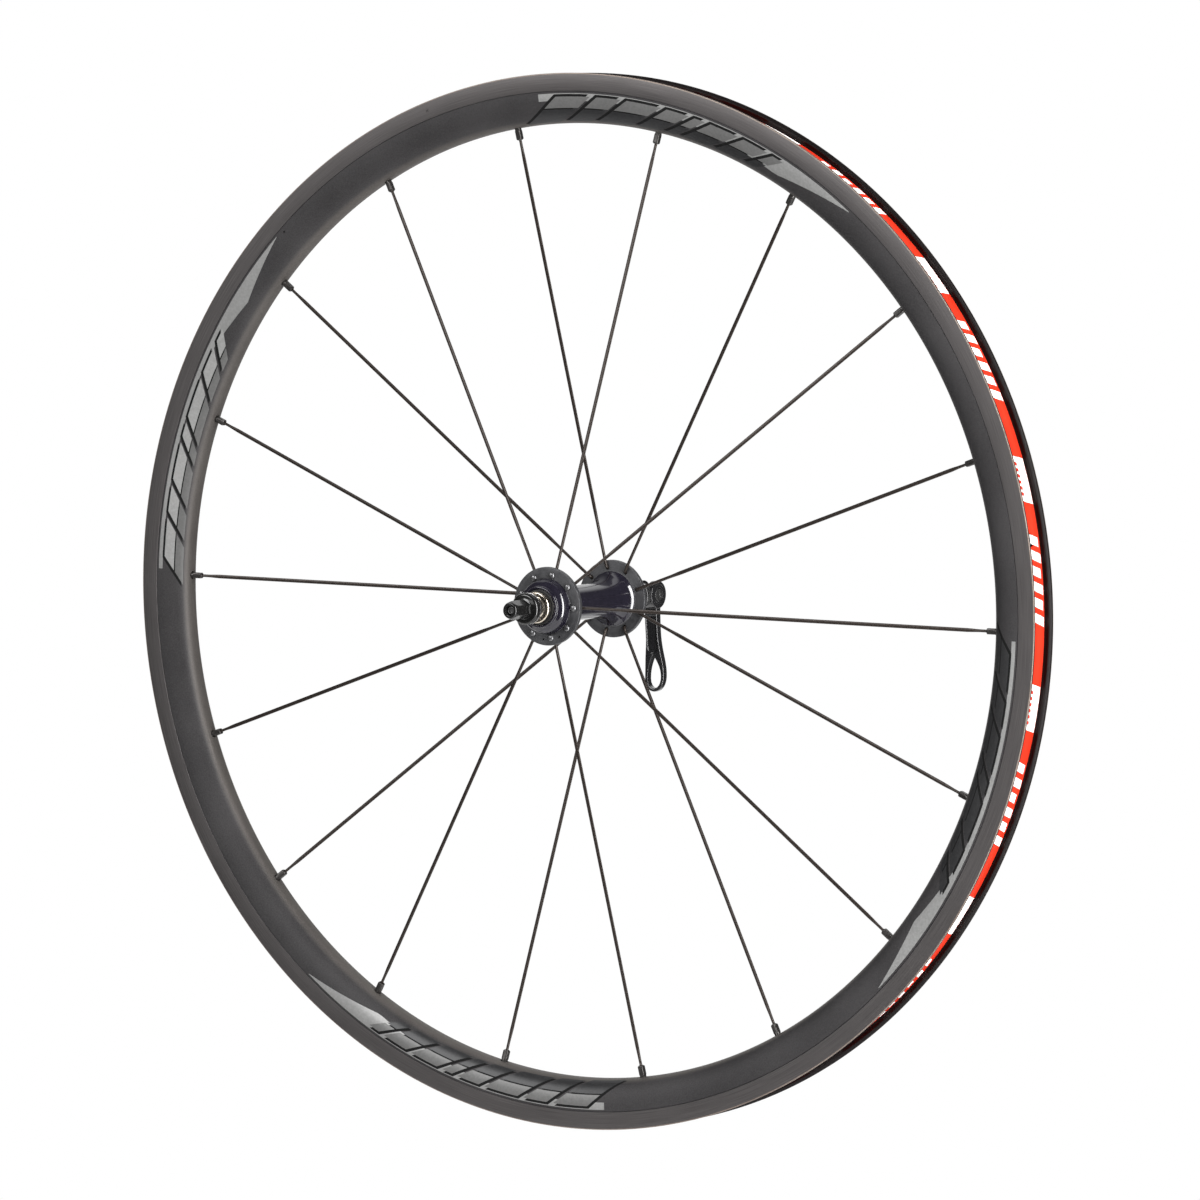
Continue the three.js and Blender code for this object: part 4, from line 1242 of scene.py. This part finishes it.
def finish_piece(piece, body, slot, finish, nodes=(), sharp=38):
    smooth_shading(piece, sharp)
    dress(piece, finish)
    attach(piece, body)
    if nodes:
        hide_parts(*nodes)


FLOOR_DROP = 0.22  # below the rim, in metres: the wheel is held by its axle
FLOOR_HALF_SIZE = 0.7
FLOOR_GLOW = 1.0
FLOOR_GLOW_ON_OBJECTS = 0.15


def make_stage():
    half = FLOOR_HALF_SIZE
    height = cad_box[0][2] - FLOOR_DROP
    corners = [(x * half, y * half, height) for x, y in ((-1, -1), (1, -1), (1, 1), (-1, 1))]
    mesh = bpy.data.meshes.new("floor")
    mesh.from_pydata(corners, [], [(0, 1, 2, 3)])
    floor = add_piece("floor", mesh)
    pale = Finish("floor_pale", (0.6, 0.6, 0.6), 0.0, 0.9)
    pale.shader.inputs["Emission Color"].default_value = (1, 1, 1, 1)
    seen = pale.node("ShaderNodeLightPath").outputs["Is Camera Ray"]
    pale.set("Emission Strength", pale.between(seen, FLOOR_GLOW_ON_OBJECTS, FLOOR_GLOW, 0, 1))
    floor.data.materials.append(pale.material)


def softbox(name, place, aim, width, height, power, in_reflections=True):
    light = bpy.data.lights.new(name, "AREA")
    light.shape = "RECTANGLE"
    light.size = width
    light.size_y = height
    light.energy = power
    lamp = add_piece(name, light)
    lamp.location = place
    lamp.rotation_euler = (Vector(aim) - Vector(place)).to_track_quat("-Z", "Y").to_euler()
    lamp.visible_glossy = in_reflections


WORLD_SEEN = 1.0
WORLD_DIFFUSE = 0.45
WORLD_GLOSSY = 0.06
SWEEP_GLOSSY = 1.0


def white_sweep(tree):
    """1 for directions towards a tall white sweep behind the wheel, 0 for the rest of the room."""
    direction = add_node(tree, "ShaderNodeTexCoord").outputs["Generated"]
    x, y = add_node(tree, "ShaderNodeSeparateXYZ", {0: direction}).outputs[:2]
    (x_sine, x_cosine), (y_sine, y_cosine) = [
        [math_node(tree, "MULTIPLY", value, turn(VIEW_AZIMUTH)) for turn in (math.sin, math.cos)]
        for value in (x, y)]
    behind = smooth_ramp(tree, math_node(tree, "SUBTRACT", y_cosine, x_sine), 0.05, 0.3)
    aside = math_node(tree, "ABSOLUTE", math_node(tree, "ADD", x_cosine, y_sine))
    return math_node(tree, "MULTIPLY", behind, smooth_ramp(tree, aside, 0.65, 0.4))


def background(tree, strength):
    inputs = {"Color": (1, 1, 1, 1), "Strength": strength}
    return add_node(tree, "ShaderNodeBackground", inputs).outputs[0]


def make_world():
    """White behind the wheel, an even fill, and a darker room in the reflections."""
    world = bpy.data.worlds.new("studio")
    world.use_nodes = True
    tree = world.node_tree
    tree.nodes.clear()
    sweep = add_node(tree, "ShaderNodeMapRange", {
        "Value": white_sweep(tree), "To Min": WORLD_GLOSSY, "To Max": SWEEP_GLOSSY}).outputs[0]
    path = add_node(tree, "ShaderNodeLightPath")
    shader = background(tree, WORLD_DIFFUSE)
    for strength, ray in ((sweep, "Is Glossy Ray"), (WORLD_SEEN, "Is Camera Ray")):
        inputs = {0: path.outputs[ray], 1: shader, 2: background(tree, strength)}
        shader = add_node(tree, "ShaderNodeMixShader", inputs).outputs[0]
    add_node(tree, "ShaderNodeOutputWorld", {"Surface": shader})
    bpy.context.scene.world = world


def make_light():
    make_world()
    softbox("key_left", (-1.5, -3.2, 1.5), (0, 0, 0), 1.6, 1.6, 70)
    softbox("strip_right", (1.5, -0.72, 0.1), (0, 0, 0.02), 0.45, 2.8, 76)
    softbox("top", (0.1, -0.3, 2.4), (0, 0, 0), 2.2, 1.1, 45, False)
    bpy.context.scene.view_settings.view_transform = "Standard"
    bpy.context.scene.view_settings.look = "None"


# ---------- the scene ----------

def main():
    make_camera()
    make_light()
    make_stage()
    make_finishes()
    make_rim()
    make_tape()
    make_tape_patches()
    make_graphics()
    make_spokes()
    make_hub()
    make_axle()
    make_end_caps()
    make_seals()
    finish_cad_nodes()
    make_rod()
    make_clamp_rings()
    make_nut()
    make_cap_and_bush()
    make_pivot()
    make_lever()


main()
